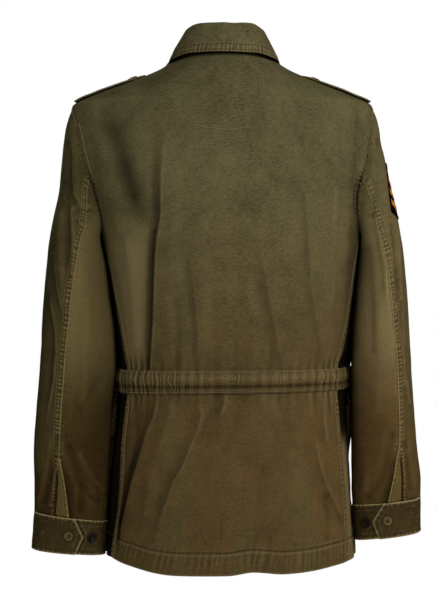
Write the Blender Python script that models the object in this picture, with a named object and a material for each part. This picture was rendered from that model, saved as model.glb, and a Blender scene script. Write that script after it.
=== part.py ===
"""A field jacket, filled out as when it is worn, piece by piece, in metres.

+Z is up, the back of the jacket faces +Y and the wearer's left is +X. The origin is the middle
of the neck opening, level with the neck ends of the shoulder seams.

Every panel is a cloth wall on one of two smooth surfaces. The body's level sections are rounded
oblongs: a point on them is named by its turn (0 at the centre of the back, 0.5 on the wearer's
left side, 1 at the centre of the front, negative on the right) and its height. A sleeve's
sections are slanting ovals: a point there is named by its angle (0 on the outer side, a quarter
turn at the back, half a turn on the side of the body) and by how far down the arm it lies.
"""

import bpy
import bmesh
import numpy as np
from mathutils import Matrix, Vector

# ---- Driving dimensions ---------------------------------------------------------------------

CLOTH = 0.0016  # wall of one layer of cotton sateen
DOUBLE = 0.0022  # wall of a cuff, sewn of two layers
SEAM = 0.0003  # gap between pieces that are sewn edge to edge
ARMHOLE_GAP = 0.00045  # the same at the armholes, where the cloth also turns a corner
LIE = 0.0008  # gap under a piece that lies on a panel

SHOULDER_Y = -0.010  # the shoulder seams run along this line
NECK_HALF = 0.0815  # half width of the neck opening
NECK_DROP = 0.085  # from the shoulder seams' neck ends to the front neckline
NECK_RISE = 0.0065  # from there to the centre of the back neckline
NECK_RISE_FADES = 0.045  # how far down the back's level rows still bend with it
TIP_Z = -0.0645  # shoulder tip, where the armhole begins
UNDERARM_Z = -0.255  # lowest point of the armhole
UNDERARM_Y = 0.012
HEM_Z = -0.745  # the hem's mean height
ARMHOLE_REACH = 0.0565  # half the armhole's width from back to front
SIDE_TURN = 0.5  # the shoulder seams run at this turn

TORSO_COLUMNS = ("height", "left", "right", "back", "front", "square")
TORSO = (
    # height, half width on the left and on the right, reach of the back and of the front from the
    # shoulder line, squareness. The first row only carries the slope on past the neckline.
    (0.012, 0.064, 0.064, 0.075, 0.022, 2.0),
    (0.000, 0.0815, 0.0815, 0.085, 0.030, 2.0),
    (-0.012, 0.102, 0.102, 0.094, 0.037, 2.0),
    (-0.030, 0.147, 0.144, 0.104, 0.048, 2.0),
    (-0.048, 0.1955, 0.190, 0.112, 0.059, 2.1),
    (-0.065, 0.2275, 0.2220, 0.118, 0.070, 2.2),
    (-0.085, 0.2300, 0.2265, 0.124, 0.079, 2.2),
    (-0.111, 0.2285, 0.2275, 0.129, 0.090, 2.3),
    (-0.150, 0.2235, 0.226, 0.133, 0.105, 2.4),
    (-0.205, 0.2035, 0.213, 0.135, 0.118, 2.4),
    (-0.255, 0.1830, 0.2035, 0.134, 0.121, 2.4),
    (-0.300, 0.1735, 0.1985, 0.130, 0.119, 2.4),
    (-0.350, 0.1662, 0.1940, 0.123, 0.114, 2.4),
    (-0.401, 0.1595, 0.1895, 0.118, 0.108, 2.4),
    (-0.430, 0.1560, 0.1850, 0.1145, 0.106, 2.4),
    (-0.458, 0.1525, 0.1785, 0.1123, 0.1043, 2.4),
    (-0.490, 0.1525, 0.1780, 0.1123, 0.1045, 2.4),
    (-0.515, 0.1555, 0.1800, 0.114, 0.107, 2.4),
    (-0.560, 0.1610, 0.1840, 0.119, 0.111, 2.4),
    (-0.640, 0.1685, 0.1890, 0.128, 0.119, 2.4),
    (-0.755, 0.1775, 0.1955, 0.138, 0.126, 2.4),
)
FULLER_COLUMNS = ("height", "left", "right")
FULLER = (
    # the unwaisted front hangs this much wider than the back
    (-0.205, 0.0000, 0.0000),
    (-0.235, 0.0050, 0.0060),
    (-0.262, 0.0100, 0.0140),
    (-0.285, 0.0165, 0.0160),
    (-0.350, 0.0190, 0.0165),
    (-0.401, 0.0190, 0.0175),
    (-0.430, 0.0205, 0.0205),
    (-0.458, 0.0222, 0.0228),
    (-0.490, 0.0222, 0.0244),
    (-0.515, 0.0165, 0.0180),
    (-0.560, 0.0130, 0.0100),
    (-0.600, 0.0120, 0.0010),
    (-0.655, 0.0140, 0.0020),
    (-0.700, 0.0150, 0.0125),
    (-0.755, 0.0120, 0.0125),
)
FULLER_TURNS = (0.485, 0.605)  # it grows wider between these turns
HEM_COLUMNS = ("turn", "height")
HEM = (
    (-1.00, -0.745),
    (-0.50, -0.737),
    (-0.32, -0.7405),
    (-0.12, -0.7475),
    (-0.05, -0.744),
    (0.00, -0.749),
    (0.10, -0.7495),
    (0.28, -0.7395),
    (0.50, -0.729),
    (1.00, -0.745),
)
SIDE_SEAM_COLUMNS = ("height", "y")
SIDE_SEAM = ((-0.255, UNDERARM_Y), (-0.350, 0.030), (-0.470, 0.040), (-0.755, 0.050))

SLEEVE_COLUMNS = ("outer x", "outer y", "outer z", "inner x", "inner y", "inner z", "reach")
SLEEVE = {
    # Sections of the two arms from just below the armhole to the cuff seam: the outermost and
    # the innermost point, and the reach to the back and to the front from between them.
    1: (
        (0.2335, -0.010, -0.080, 0.1850, 0.011, -0.2600, 0.0640),
        (0.2395, -0.007, -0.105, 0.1845, 0.007, -0.2670, 0.0705),
        (0.2435, -0.003, -0.145, 0.1825, 0.002, -0.2780, 0.0750),
        (0.2470, 0.002, -0.185, 0.1795, -0.003, -0.2900, 0.0775),
        (0.2560, 0.006, -0.235, 0.1765, -0.006, -0.3020, 0.0780),
        (0.2635, 0.009, -0.285, 0.1740, -0.008, -0.3200, 0.0770),
        (0.2680, 0.011, -0.335, 0.1705, -0.008, -0.3500, 0.0740),
        (0.2725, 0.012, -0.395, 0.1640, -0.008, -0.4000, 0.0670),
        (0.2755, 0.012, -0.450, 0.1630, -0.008, -0.4500, 0.0600),
        (0.2815, 0.008, -0.520, 0.1685, -0.008, -0.5200, 0.0530),
        (0.2855, 0.003, -0.580, 0.1715, -0.006, -0.5840, 0.0470),
        (0.2858, -0.002, -0.630, 0.1740, -0.004, -0.6380, 0.0400),
        (0.2858, -0.004, -0.672, 0.1755, -0.004, -0.6860, 0.0340),
    ),
    -1: (
        (-0.2290, -0.010, -0.080, -0.2055, 0.011, -0.2605, 0.0640),
        (-0.2345, -0.008, -0.105, -0.2050, 0.007, -0.2680, 0.0705),
        (-0.2410, -0.006, -0.145, -0.2040, 0.002, -0.2800, 0.0760),
        (-0.2490, -0.004, -0.185, -0.2025, -0.003, -0.2920, 0.0790),
        (-0.2615, -0.003, -0.235, -0.2010, -0.006, -0.3030, 0.0800),
        (-0.2690, -0.002, -0.285, -0.1990, -0.008, -0.3200, 0.0800),
        (-0.2745, -0.002, -0.335, -0.1965, -0.008, -0.3500, 0.0770),
        (-0.2785, -0.002, -0.395, -0.1925, -0.008, -0.4000, 0.0700),
        (-0.2812, -0.001, -0.450, -0.1915, -0.008, -0.4500, 0.0630),
        (-0.2858, 0.000, -0.520, -0.1915, -0.006, -0.5200, 0.0560),
        (-0.2910, 0.000, -0.585, -0.1915, -0.004, -0.5820, 0.0500),
        (-0.2955, -0.002, -0.625, -0.1915, -0.002, -0.6350, 0.0430),
        (-0.2955, -0.003, -0.650, -0.1930, -0.003, -0.6620, 0.0350),
    ),
}
CUFF_END = {
    # The cuffs' lower edges, in the same columns.
    1: (0.2900, -0.005, -0.7280, 0.1780, -0.005, -0.7370, 0.0330),
    -1: (-0.2965, -0.003, -0.7010, -0.1957, -0.003, -0.7145, 0.0330),
}
BACK_SEAM_COLUMNS = ("down", "left", "right")
BACK_SEAM = (
    (0.00, 100.0, 100.0),
    (0.04, 105.0, 101.0),
    (0.08, 110.0, 100.5),
    (0.13, 107.0, 98.5),
    (0.20, 99.0, 94.5),
    (0.27, 94.0, 87.5),
    (0.42, 82.5, 75.5),
    (0.58, 75.0, 66.0),
    (0.74, 75.0, 66.0),
    (0.88, 74.5, 70.0),
    (1.00, 69.5, 69.5),
)
FRONT_SEAM = -120.0  # degrees
SETTLING = 0.2  # share of the arm over which a sleeve loses the armhole's shape
MIDDLE_REACH = 0.06  # a sleeve's usual reach, which tells its back folds from its front ones
SIDE_ROOM = 0.0022  # least gap between a sleeve and the body
CASING_ROOM = 0.0092  # more of it beside the waist casing
CASING_ROOM_HALF_HEIGHT = 0.024
SOFTNESS = 0.004  # how gently a sleeve flattens against the body
PRESSED_FROM = 0.06  # share of the arm from which it may touch the body
NEAR_ARMHOLE = 0.03  # share of the arm at which the sleeve's second ring lies
DROPPING_AWAY = 0.15  # slope of a sleeve that leaves the armhole as the body's own surface does

COLLAR_END = 176.0  # degrees from the centre of the back
COLLAR_COLUMNS = ("degrees", "x", "y", "z", "edge turn", "edge height", "edge lift")
COLLAR = (
    # By the angle from the centre of the back: the top of the stand, then the fall's edge as a
    # place on the body and how far it is lifted off it.
    (0, 0.0000, 0.0680, 0.0480, 0.000, -0.002, 0.0135),
    (30, 0.0350, 0.0585, 0.0480, 0.165, -0.002, 0.0122),
    (60, 0.0560, 0.0325, 0.0415, 0.330, -0.002, 0.0062),
    (90, 0.0610, -0.0100, 0.0330, 0.500, -0.001, 0.0024),
    (105, 0.0600, -0.0320, 0.0120, 0.700, -0.020, 0.0050),
    (120, 0.0570, -0.0530, -0.0105, 0.840, -0.046, 0.0050),
    (150, 0.0360, -0.0730, -0.0456, 0.914, -0.095, 0.0050),
    (COLLAR_END, 0.0066, -0.0810, -0.0587, 0.948, -0.122, 0.0050),
)
COLLAR_ROLL = 0.0034  # radius of the turned fold line
COLLAR_SWELL = 0.0025
ROLL_DEGREES = (130, 85, 40)  # places round the fold line
FALL_SHARES = (0, 0.3, 0.6, 0.85, 1)  # places down the fall
STAND_SHORT = 0.0008  # the stand stops this far below the fold line
COLLAR_INSET = 0.0031  # the stand rises just inside the neckline, from a little below it
COLLAR_SINK = 0.004

STRAP_HALF_WIDTH = 0.0225
STRAP_OUTER = {1: 0.2215, -1: 0.2165}  # just short of the armhole seams
STRAP_INNER = 0.132
STRAP_POINT = 0.015
STRAP_THICK = 0.0032  # both its layers and their turned edges
STRAP_ARCH = 0.0010
STRAP_END_LIFT = 0.0025  # it rises over the turned edge of the armhole seam
STRAP_BUTTON_IN = 0.004  # from where its point begins

CASING_TOP = -0.4575
CASING_BOTTOM = -0.4905
CASING_WAVES = 42
CASING_END = 0.030  # from the centre front
CASING_TILT = (0.0014, 0.0030)  # how far its edges drop towards the left, top and bottom
CORD_SWELL = 0.0032  # the cord inside lifts the middle of the casing
CORD_DOWN = 0.58  # share of the casing's height at which the cord runs
CASING_LIE = 0.0012  # gap between the casing and the panels, which bend inwards there
CASING_RIPPLE = (0.0004, 0.0012, 0.0006)  # half the gathers' depth at top, cord and bottom

BAND_HALF_WIDTH = 0.022
BAND_TOP = -0.090
FRONT_BUTTONS = 6
FRONT_BUTTON_TOP = -0.118
FRONT_BUTTON_PITCH = 0.105

POCKET_TURNS = (0.535, 0.900)
POCKET_COLUMNS = 10
POCKET_TOP = -0.515
POCKET_BOTTOM = -0.700
POCKET_SWELL = 0.0085
POCKET_MOUTH = 0.18  # the mouth stands off as much as this share down a half wave
FLAP = (
    # height, then how much of the pocket's own depth the flap passes over
    (-0.4975, 0.0),
    (-0.5095, 1.0),
    (-0.5300, 1.1),
    (-0.5460, 1.3),
    (-0.5620, 1.5),
)

CUFF_START = 60.0  # degrees; the under end lies hidden below the overlap
CUFF_END_HEIGHTS = (0.0, 0.5, 1.0)  # share of the cuff's height at the overlap's three corners
CUFF_POINT = {1: (458.5, 473.0, 462.5), -1: (458.5, 477.0, 467.5)}  # degrees of these
CUFF_OVERLAP_LIFT = {1: 0.0034, -1: 0.0056}
CUFF_LIFT_DEGREES = (370.0, 45.0)  # the overlap rises from here, over this much of the turn
CUFF_CLEAR = 0.008  # share of the cuff's height that keeps it clear of the sleeve
CUFF_BUTTON_ANGLE = {1: 129.0, -1: 131.0}
VENT_TOP = 0.828  # how far down the arm the vent flap begins
VENT_WIDTH = 0.019
VENT_TIP_WIDTH = 0.0015
VENT_BOTTOM = 0.995
VENT_LIFT = 0.0045

BADGE_HALF_DEGREES = 33.0
BADGE_MIDDLE = (-3.0, 15.0)  # degrees of its middle at the top and bottom, as the sleeve twists
BADGE_TOP = -0.152
BADGE_HEIGHT = 0.074
BADGE_DROP = 0.012

BUTTON_RADIUS = 0.0075
BUTTON_THICKNESS = 0.0028

BODY_FOLDS = (
    # face (1 back, -1 front), half width, depth (troughs below 0), then the x, z it runs through
    (1, 0.015, -0.0080, (0.101, -0.165), (0.107, -0.225), (0.114, -0.290), (0.116, -0.430)),
    (1, 0.015, 0.0035, (0.086, -0.180), (0.094, -0.290), (0.095, -0.430)),
    (1, 0.014, -0.0085, (0.105, -0.515), (0.121, -0.545), (0.131, -0.580), (0.146, -0.640)),
    (1, 0.014, 0.0035, (0.092, -0.530), (0.106, -0.580), (0.122, -0.640)),
    (1, 0.014, 0.0040, (-0.106, -0.160), (-0.124, -0.270), (-0.138, -0.400)),
    (1, 0.013, -0.0050, (-0.135, -0.560), (-0.144, -0.615), (-0.168, -0.673)),
    (1, 0.014, -0.0050, (0.168, -0.084), (0.148, -0.133), (0.126, -0.235)),
    (1, 0.014, -0.0035, (0.052, -0.520), (0.062, -0.590), (0.097, -0.692)),
    (1, 0.012, -0.0030, (-0.135, -0.119), (-0.164, -0.162)),
    (-1, 0.014, -0.0050, (0.150, -0.120), (0.120, -0.240), (0.110, -0.330)),
    (-1, 0.014, -0.0050, (-0.155, -0.130), (-0.130, -0.230), (-0.125, -0.310)),
    (-1, 0.014, -0.0045, (0.060, -0.330), (0.066, -0.430)),
    (-1, 0.014, -0.0045, (-0.070, -0.350), (-0.076, -0.430)),
)
SLEEVE_FOLDS = {
    1: (
        (1, 0.010, -0.0050, (0.232, -0.100), (0.219, -0.165), (0.190, -0.222)),
        (1, 0.013, -0.0030, (0.251, -0.225), (0.254, -0.440)),
        (1, 0.009, -0.0030, (0.236, -0.590), (0.208, -0.640), (0.184, -0.664)),
        (-1, 0.012, -0.0050, (0.175, -0.325), (0.235, -0.345)),
        (-1, 0.012, -0.0040, (0.178, -0.375), (0.245, -0.385)),
    ),
    -1: (
        (1, 0.010, -0.0035, (-0.235, -0.120), (-0.228, -0.190), (-0.215, -0.225)),
        (1, 0.010, -0.0035, (-0.251, -0.565), (-0.219, -0.640)),
        (-1, 0.012, -0.0050, (-0.195, -0.330), (-0.240, -0.340)),
        (-1, 0.012, -0.0040, (-0.195, -0.385), (-0.250, -0.380)),
    ),
}
FOLD_TURN = 0.030  # a fold on one face fades out over this depth at the side

# How finely the panels are divided
ARMHOLE_STEPS = 9
SHOULDER_STEPS = 6
NECKLINE_STEPS = 6
ABOVE_CASING = 5  # rows from the underarm to the casing
BELOW_CASING = 7
COLLAR_COLUMNS_ROUND = 27
BACK_COLUMNS = 38
FRONT_COLUMNS = 16
FRONT_BUNCH = 1.50  # how far the front's columns bunch towards the side
SLEEVE_STEPS = 18
UPPER_COLUMNS = 15
UNDER_COLUMNS = 9

FINISHES = {
    # red, green, blue, roughness, metallic
    "cloth": (0.082, 0.058, 0.026, 0.92, 0.0),
    "shaded cloth": (0.050, 0.038, 0.018, 0.92, 0.0),
    "button": (0.020, 0.012, 0.008, 0.40, 0.0),
    "badge": (0.014, 0.014, 0.022, 0.85, 0.0),
}


# ---- Curves and surfaces --------------------------------------------------------------------


def through(at, knots, values):
    """A smooth curve through the values at the knots that never overshoots them."""
    order = np.argsort(knots)
    knots = np.asarray(knots, float)[order]
    values = np.asarray(values, float)[order]
    step = np.diff(knots)
    slope = np.diff(values) / step
    product = slope[:-1] * slope[1:]
    total = np.where(product > 0, slope[:-1] + slope[1:], 1)
    inner = np.where(product > 0, 2 * product / total, 0)
    lean = np.concatenate([slope[:1], inner, slope[-1:]])
    at = np.clip(at, knots[0], knots[-1])
    low = np.clip(np.searchsorted(knots, at, side="right") - 1, 0, len(step) - 1)
    share = (at - knots[low]) / step[low]
    ease = share**2 * (3 - 2 * share)
    leaving = lean[low] * step[low] * share * (1 - share) ** 2
    arriving = lean[low + 1] * step[low] * share**2 * (1 - share)
    return values[low] * (1 - ease) + values[low + 1] * ease + leaving - arriving


def read(table, columns, name, at):
    """Read a named column of a table at places along its first column."""
    rows = np.array(table)
    return through(at, rows[:, 0], rows[:, columns.index(name)])


def torso(name, height):
    return read(TORSO, TORSO_COLUMNS, name, height)


def unit(vectors):
    return vectors / np.linalg.norm(vectors, axis=-1, keepdims=True)


def facing(surface, first, second):
    """Unit normals of a surface of two numbers."""
    small = 1e-4
    along_first = surface(first + small, second) - surface(first - small, second)
    along_second = surface(first, second + small) - surface(first, second - small)
    return unit(np.cross(along_second, along_first))


def line_distance(across, height, line):
    """Distance from points of the x, z plane to a line through several points."""
    nearest = np.full(np.shape(across), np.inf)
    for start, end in zip(line[:-1], line[1:]):
        run = np.subtract(end, start)
        share = ((across - start[0]) * run[0] + (height - start[1]) * run[1]) / run.dot(run)
        share = np.clip(share, 0, 1)
        away = np.hypot(across - start[0] - share * run[0], height - start[1] - share * run[1])
        nearest = np.minimum(nearest, away)
    return nearest


def relief(points, folds, middle_y):
    """How far the folds raise the cloth at each point."""
    rise = np.zeros(points.shape[:-1])
    for face, half_width, depth, *line in folds:
        away = line_distance(points[..., 0], points[..., 2], line)
        on_face = np.clip(face * (points[..., 1] - middle_y) / FOLD_TURN, 0, 1)
        rise += depth * on_face * np.exp(-((away / half_width) ** 2))
    return rise


def half_width(side, height):
    return np.where(side > 0, torso("left", height), torso("right", height))


def fuller(turn, height):
    """How much wider than the back the body is there."""
    left = read(FULLER, FULLER_COLUMNS, "left", height)
    right = read(FULLER, FULLER_COLUMNS, "right", height)
    first, last = FULLER_TURNS
    share = np.clip((np.abs(turn) - first) / (last - first), 0, 1)
    return np.where(turn > 0, left, right) * share**2 * (3 - 2 * share)


def body(turn, height):
    """The smooth surface of the body."""
    turn, height = np.broadcast_arrays(turn, height)
    turn = (turn + 1) % 2 - 1
    angle = np.pi * np.abs(turn)
    bend = 2 / torso("square", height)
    half = half_width(turn, height) + fuller(turn, height)
    reach = np.where(angle < np.pi / 2, torso("back", height), torso("front", height))
    across = np.sign(turn) * half * np.abs(np.sin(angle)) ** bend
    along = np.sign(np.cos(angle)) * reach * np.abs(np.cos(angle)) ** bend
    return np.stack([across, SHOULDER_Y + along, height], axis=-1)


def body_cloth(turn, height, lift=0.0):
    """Points on the folded cloth of the body, and the way that it faces."""
    points = body(turn, height)
    out = facing(body, turn, height)
    rise = relief(points, BODY_FOLDS, SHOULDER_Y) + lift
    return points + out * rise[..., None], out


def turn_at_y(side, y, height):
    """The turn at which the body's level section reaches y."""
    reach = np.where(y > SHOULDER_Y, torso("back", height), torso("front", height))
    level = np.clip(np.abs(y - SHOULDER_Y) / reach, 0, 1) ** (torso("square", height) / 2)
    angle = np.arccos(level)
    return side * np.where(y > SHOULDER_Y, angle, np.pi - angle) / np.pi


def front_turn_at_x(x, height):
    """The turn at which the front of the level section reaches x, past 1 on the right."""
    half = half_width(x, height) + fuller(np.sign(x), height)
    level = np.clip(np.abs(x) / half, 0, 1) ** (torso("square", height) / 2)
    return 1 - np.sign(x) * np.arcsin(level) / np.pi


def hem(turn):
    return read(HEM, HEM_COLUMNS, "height", turn)


def neckline(angle):
    """Turn and height of the neckline, by the angle (0 to pi) from the centre of the back."""
    drop = np.minimum(np.cos(angle), 0)
    height = NECK_DROP * drop + NECK_RISE * (np.cos(angle) - drop) ** 2
    front = front_turn_at_x(NECK_HALF * np.sin(angle), height)
    return np.where(angle > np.pi / 2, front, angle / np.pi), height


def armhole(side, angle):
    """Turn and height of the armhole: angle 0 at the tip, pi under the arm, back above 0."""
    share = (1 - np.cos(angle)) / 2
    height = TIP_Z + (UNDERARM_Z - TIP_Z) * share
    y = SHOULDER_Y + (UNDERARM_Y - SHOULDER_Y) * share + ARMHOLE_REACH * np.sin(angle)
    return turn_at_y(side, y, height), height


def rows_down(start, above, below):
    """Level heights from start to the hem, with a row at either edge of the casing."""
    upper = np.linspace(start, CASING_TOP, above + 1)[1:]
    lower = np.linspace(CASING_BOTTOM, HEM_Z, below + 1)
    return np.concatenate([upper, lower])


def with_hem(turn, height):
    """A level row's heights, bent towards the shape of the hem below the casing."""
    share = np.clip((CASING_BOTTOM - height) / (CASING_BOTTOM - HEM_Z), 0, 1)
    return height + (hem(turn) - HEM_Z) * share


def with_neck(turn, height):
    """Heights near the back neckline, raised towards the centre of the back."""
    share = np.clip(1 + height / NECK_RISE_FADES, 0, 1)
    return height + NECK_RISE * np.cos(np.pi * turn) ** 2 * share


def side_seam(side):
    """Turn and height down the side seam, from the underarm to the hem."""
    level = rows_down(UNDERARM_Z, ABOVE_CASING, BELOW_CASING)
    turn = np.full(len(level), side * 0.45)
    for _ in range(4):
        height = with_hem(turn, level)
        y = read(SIDE_SEAM, SIDE_SEAM_COLUMNS, "y", height)
        turn = turn_at_y(side, y, height)
    return turn, height


def sleeve_rows(side):
    """How far down each section of the sleeve lies, and the sections, armhole first."""
    tip = body(*armhole(side, 0.0))
    underarm = body(*armhole(side, np.pi))
    rows = np.array([(*tip, *underarm, ARMHOLE_REACH), *SLEEVE[side]])
    middle = (rows[:, 0:3] + rows[:, 3:6]) / 2
    run = np.cumsum(np.linalg.norm(np.diff(middle, axis=0), axis=1))
    return np.concatenate([[0], run / run[-1]]), rows


def oval(row_of, angle):
    """Points of a slanting section whose seven sizes are given by row_of(column)."""
    sizes = [row_of(column) for column in range(len(SLEEVE_COLUMNS))]
    outer = np.stack(sizes[0:3], axis=-1)
    inner = np.stack(sizes[3:6], axis=-1)
    points = (outer + inner) / 2 + (outer - inner) / 2 * np.cos(angle)[..., None]
    points[..., 1] += sizes[6] * np.sin(angle)
    return points


def beside_body(side, points, down):
    """Flatten a sleeve's inner side where it would press into the body."""
    height = points[..., 2]
    wall_of_body = body(turn_at_y(side, points[..., 1], height), height)
    middle = (CASING_TOP + CASING_BOTTOM) / 2
    away = (height - middle) / CASING_ROOM_HALF_HEIGHT
    room = SIDE_ROOM + CASING_ROOM * np.exp(-(away**4))
    least = side * wall_of_body[..., 0] + room
    across = points[..., 0] * side
    apart = np.hypot(across - least, SOFTNESS)
    pressed = (across + least + apart - SOFTNESS) / 2
    share = np.clip(down / PRESSED_FROM - 1, 0, 1)
    points[..., 0] = side * (across + (np.maximum(across, pressed) - across) * share)
    return points


def sleeve(side, angle, down):
    """The smooth surface of a sleeve, which starts from the armhole's true shape."""
    places, rows = sleeve_rows(side)
    angle, down = np.broadcast_arrays(angle, np.clip(down, 0, 1))
    points = oval(lambda column: through(down, places, rows[:, column]), angle)
    loop = body(*armhole(side, angle))[..., 0]
    flat = (rows[0, 0] + rows[0, 3]) / 2 + (rows[0, 0] - rows[0, 3]) / 2 * np.cos(angle)
    fade = np.clip(1 - down / SETTLING, 0, 1) ** 2
    points[..., 0] += (loop - flat) * fade
    return beside_body(side, points, down)


def sleeve_cloth(side, angle, down, lift=0.0):
    """Points on the folded cloth of a sleeve, and the way that it faces."""
    points = sleeve(side, angle, down)
    out = side * facing(lambda a, d: sleeve(side, a, d), angle, down)
    middle_y = points[..., 1] - MIDDLE_REACH * np.sin(angle)
    rise = relief(points, SLEEVE_FOLDS[side], middle_y) + lift
    return points + out * rise[..., None], out


def cuff_cloth(side, angle, down, lift):
    """Points on a cuff, down from 0 at its seam to 1 at its lower edge, and its facing."""
    ends = np.array([sleeve_rows(side)[1][-1], CUFF_END[side]])

    def surface(angle, down):
        angle, down = np.broadcast_arrays(angle, down)
        return oval(lambda column: ends[0, column] * (1 - down) + ends[1, column] * down, angle)

    out = side * facing(surface, angle, down)
    return surface(angle, down) + out * np.asarray(lift)[..., None], out


def shoulder_place(side, x, y):
    """Turn and height of the body's upper surface at a place seen from above."""
    low = np.full(np.shape(x), -0.20)
    high = np.full(np.shape(x), 0.010)
    for _ in range(40):
        height = (low + high) / 2
        half = torso("left" if side > 0 else "right", height)
        reach = np.where(y > SHOULDER_Y, torso("back", height), torso("front", height))
        power = torso("square", height)
        outside = (np.abs(x) / half) ** power + (np.abs(y - SHOULDER_Y) / reach) ** power > 1
        high = np.where(outside, height, high)
        low = np.where(outside, low, height)
    return turn_at_y(side, y, height), height


# ---- Making meshes --------------------------------------------------------------------------


def draw_in(grid, by):
    """Move the border of a grid of points inwards, along its own rows and columns."""
    drawn = grid.copy()
    for edge, beside in ((0, 1), (-1, -2)):
        drawn[edge] += unit(grid[beside] - grid[edge]) * by
        drawn[:, edge] += unit(grid[:, beside] - grid[:, edge]) * by
    return drawn


def place_object(name, mesh, finish):
    """Put a mesh in the jacket's collection, in a material of its own."""
    *colour, roughness, metallic = FINISHES[finish]
    material = bpy.data.materials.new(name)
    material.use_nodes = True
    shader = material.node_tree.nodes["Principled BSDF"]
    shader.inputs["Base Color"].default_value = (*colour, 1)
    shader.inputs["Roughness"].default_value = roughness
    shader.inputs["Metallic"].default_value = metallic
    mesh.materials.append(material)
    mesh.shade_smooth()
    mesh.set_sharp_from_angle(angle=np.radians(40))
    piece = bpy.data.objects.new(name, mesh)
    bpy.data.collections["Field jacket"].objects.link(piece)
    return piece


def wall(name, outer, inner, finish="cloth"):
    """A closed cloth wall between two grids of points, each rows by columns by x, y, z."""
    rows, columns = outer.shape[:2]
    count = rows * columns
    number = np.arange(count).reshape(rows, columns)
    corners = (number[:-1, :-1], number[:-1, 1:], number[1:, 1:], number[1:, :-1])
    sheet = np.stack([corner.ravel() for corner in corners], axis=1)
    border = [number[0, :-1], number[:-1, -1], number[-1, :0:-1], number[:0:-1, 0]]
    first = np.concatenate(border)
    second = np.roll(first, -1)
    rim = np.stack([second, first, first + count, second + count], axis=1)
    faces = np.concatenate([sheet, sheet[:, ::-1] + count, rim])
    points = np.concatenate([outer.reshape(-1, 3), inner.reshape(-1, 3)])
    form = bmesh.new()
    vertices = [form.verts.new(point) for point in points]
    for face in faces:
        form.faces.new([vertices[corner] for corner in face])
    bmesh.ops.recalc_face_normals(form, faces=form.faces)
    mesh = bpy.data.meshes.new(name)
    form.to_mesh(mesh)
    form.free()
    return place_object(name, mesh, finish)


def panel(name, points, out, finish="cloth", thick=CLOTH):
    """A wall that stands on its own points, drawn in by half a seam's gap."""
    outer = draw_in(points, SEAM / 2)
    return wall(name, outer, outer - out * thick, finish)


def button(name, centre, out):
    form = bmesh.new()
    turned = Vector(out).to_track_quat("Z", "Y").to_matrix().to_4x4()
    bmesh.ops.create_cone(
        form,
        cap_ends=True,
        segments=16,
        radius1=BUTTON_RADIUS,
        radius2=BUTTON_RADIUS * 0.92,
        depth=BUTTON_THICKNESS,
        matrix=Matrix.Translation(centre) @ turned,
    )
    mesh = bpy.data.meshes.new(name)
    form.to_mesh(mesh)
    form.free()
    return place_object(name, mesh, "button")


# ---- The body's pieces ----------------------------------------------------------------------


def armhole_angles():
    return np.linspace(0, np.pi, ARMHOLE_STEPS + 1)


def back_edge(side):
    """Turns and heights down one side of the back: shoulder seam, armhole, side seam."""
    shoulder = np.linspace(0, TIP_Z, SHOULDER_STEPS + 1)
    armhole_turn, armhole_height = armhole(side, armhole_angles()[1:])
    seam_turn, seam_height = side_seam(side)
    turns = np.concatenate([np.full(len(shoulder), side * SIDE_TURN), armhole_turn, seam_turn])
    return turns, np.concatenate([shoulder, armhole_height, seam_height])


def between(first, second, steps, bunch=1.0):
    """Rows that run straight from each value of one edge to the same one of the other."""
    share = np.linspace(0, 1, steps + 1) ** bunch
    return first[:, None] * (1 - share) + second[:, None] * share


def make_back():
    right_turn, right_height = back_edge(-1)
    left_turn, left_height = back_edge(1)
    turn = between(right_turn, left_turn, BACK_COLUMNS)
    height = between(right_height, left_height, BACK_COLUMNS)
    rows = BELOW_CASING + 1
    level = rows_down(UNDERARM_Z, ABOVE_CASING, BELOW_CASING)[-rows:, None]
    height[-rows:] = with_hem(turn[-rows:], level)
    points, out = body_cloth(turn, with_neck(turn, height))
    return panel("back", points, out)


def front_outer_edge(side):
    armhole_turn, armhole_height = armhole(side, -armhole_angles())
    seam_turn, seam_height = side_seam(side)
    turns = np.concatenate([armhole_turn, seam_turn])
    return turns, np.concatenate([armhole_height, seam_height])


def centre_rows():
    """Heights down the centre of the front, from the neckline to the hem."""
    above = ARMHOLE_STEPS + ABOVE_CASING - NECKLINE_STEPS
    return rows_down(-NECK_DROP, above, BELOW_CASING)


def front_inner_edge(side):
    neck_turn, neck_height = neckline(np.linspace(np.pi / 2, np.pi, NECKLINE_STEPS + 1))
    centre_height = centre_rows()
    turns = np.concatenate([neck_turn, np.ones(len(centre_height))])
    return side * turns, np.concatenate([neck_height, centre_height])


def make_front(side, name):
    outer_turn, outer_height = front_outer_edge(side)
    inner_turn, inner_height = front_inner_edge(side)
    turn = between(outer_turn, inner_turn, FRONT_COLUMNS, FRONT_BUNCH)
    height = between(outer_height, inner_height, FRONT_COLUMNS, FRONT_BUNCH)
    knots = np.linspace(TIP_Z, 0, SHOULDER_STEPS + 1)
    points, out = body_cloth(turn, height)
    ridge = body_cloth(np.full(len(knots), side * SIDE_TURN), knots)[0]
    for axis in range(3):
        points[0, :, axis] = np.interp(height[0], knots, ridge[:, axis])
    return panel(name, points, out)


def make_front_band():
    x = np.linspace(-BAND_HALF_WIDTH, BAND_HALF_WIDTH, 3)
    height = np.concatenate([[BAND_TOP], centre_rows()])[:, None] + 0 * x
    inner, out = body_cloth(front_turn_at_x(x, height), height, LIE)
    wall("front_band", inner + out * CLOTH, inner)
    for number in range(FRONT_BUTTONS):
        place = np.array(FRONT_BUTTON_TOP - FRONT_BUTTON_PITCH * number)
        lift = LIE + CLOTH + LIE + BUTTON_THICKNESS / 2
        button(f"front_button_{number + 1}", *body_cloth(np.array(1.0), place, lift))


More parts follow.
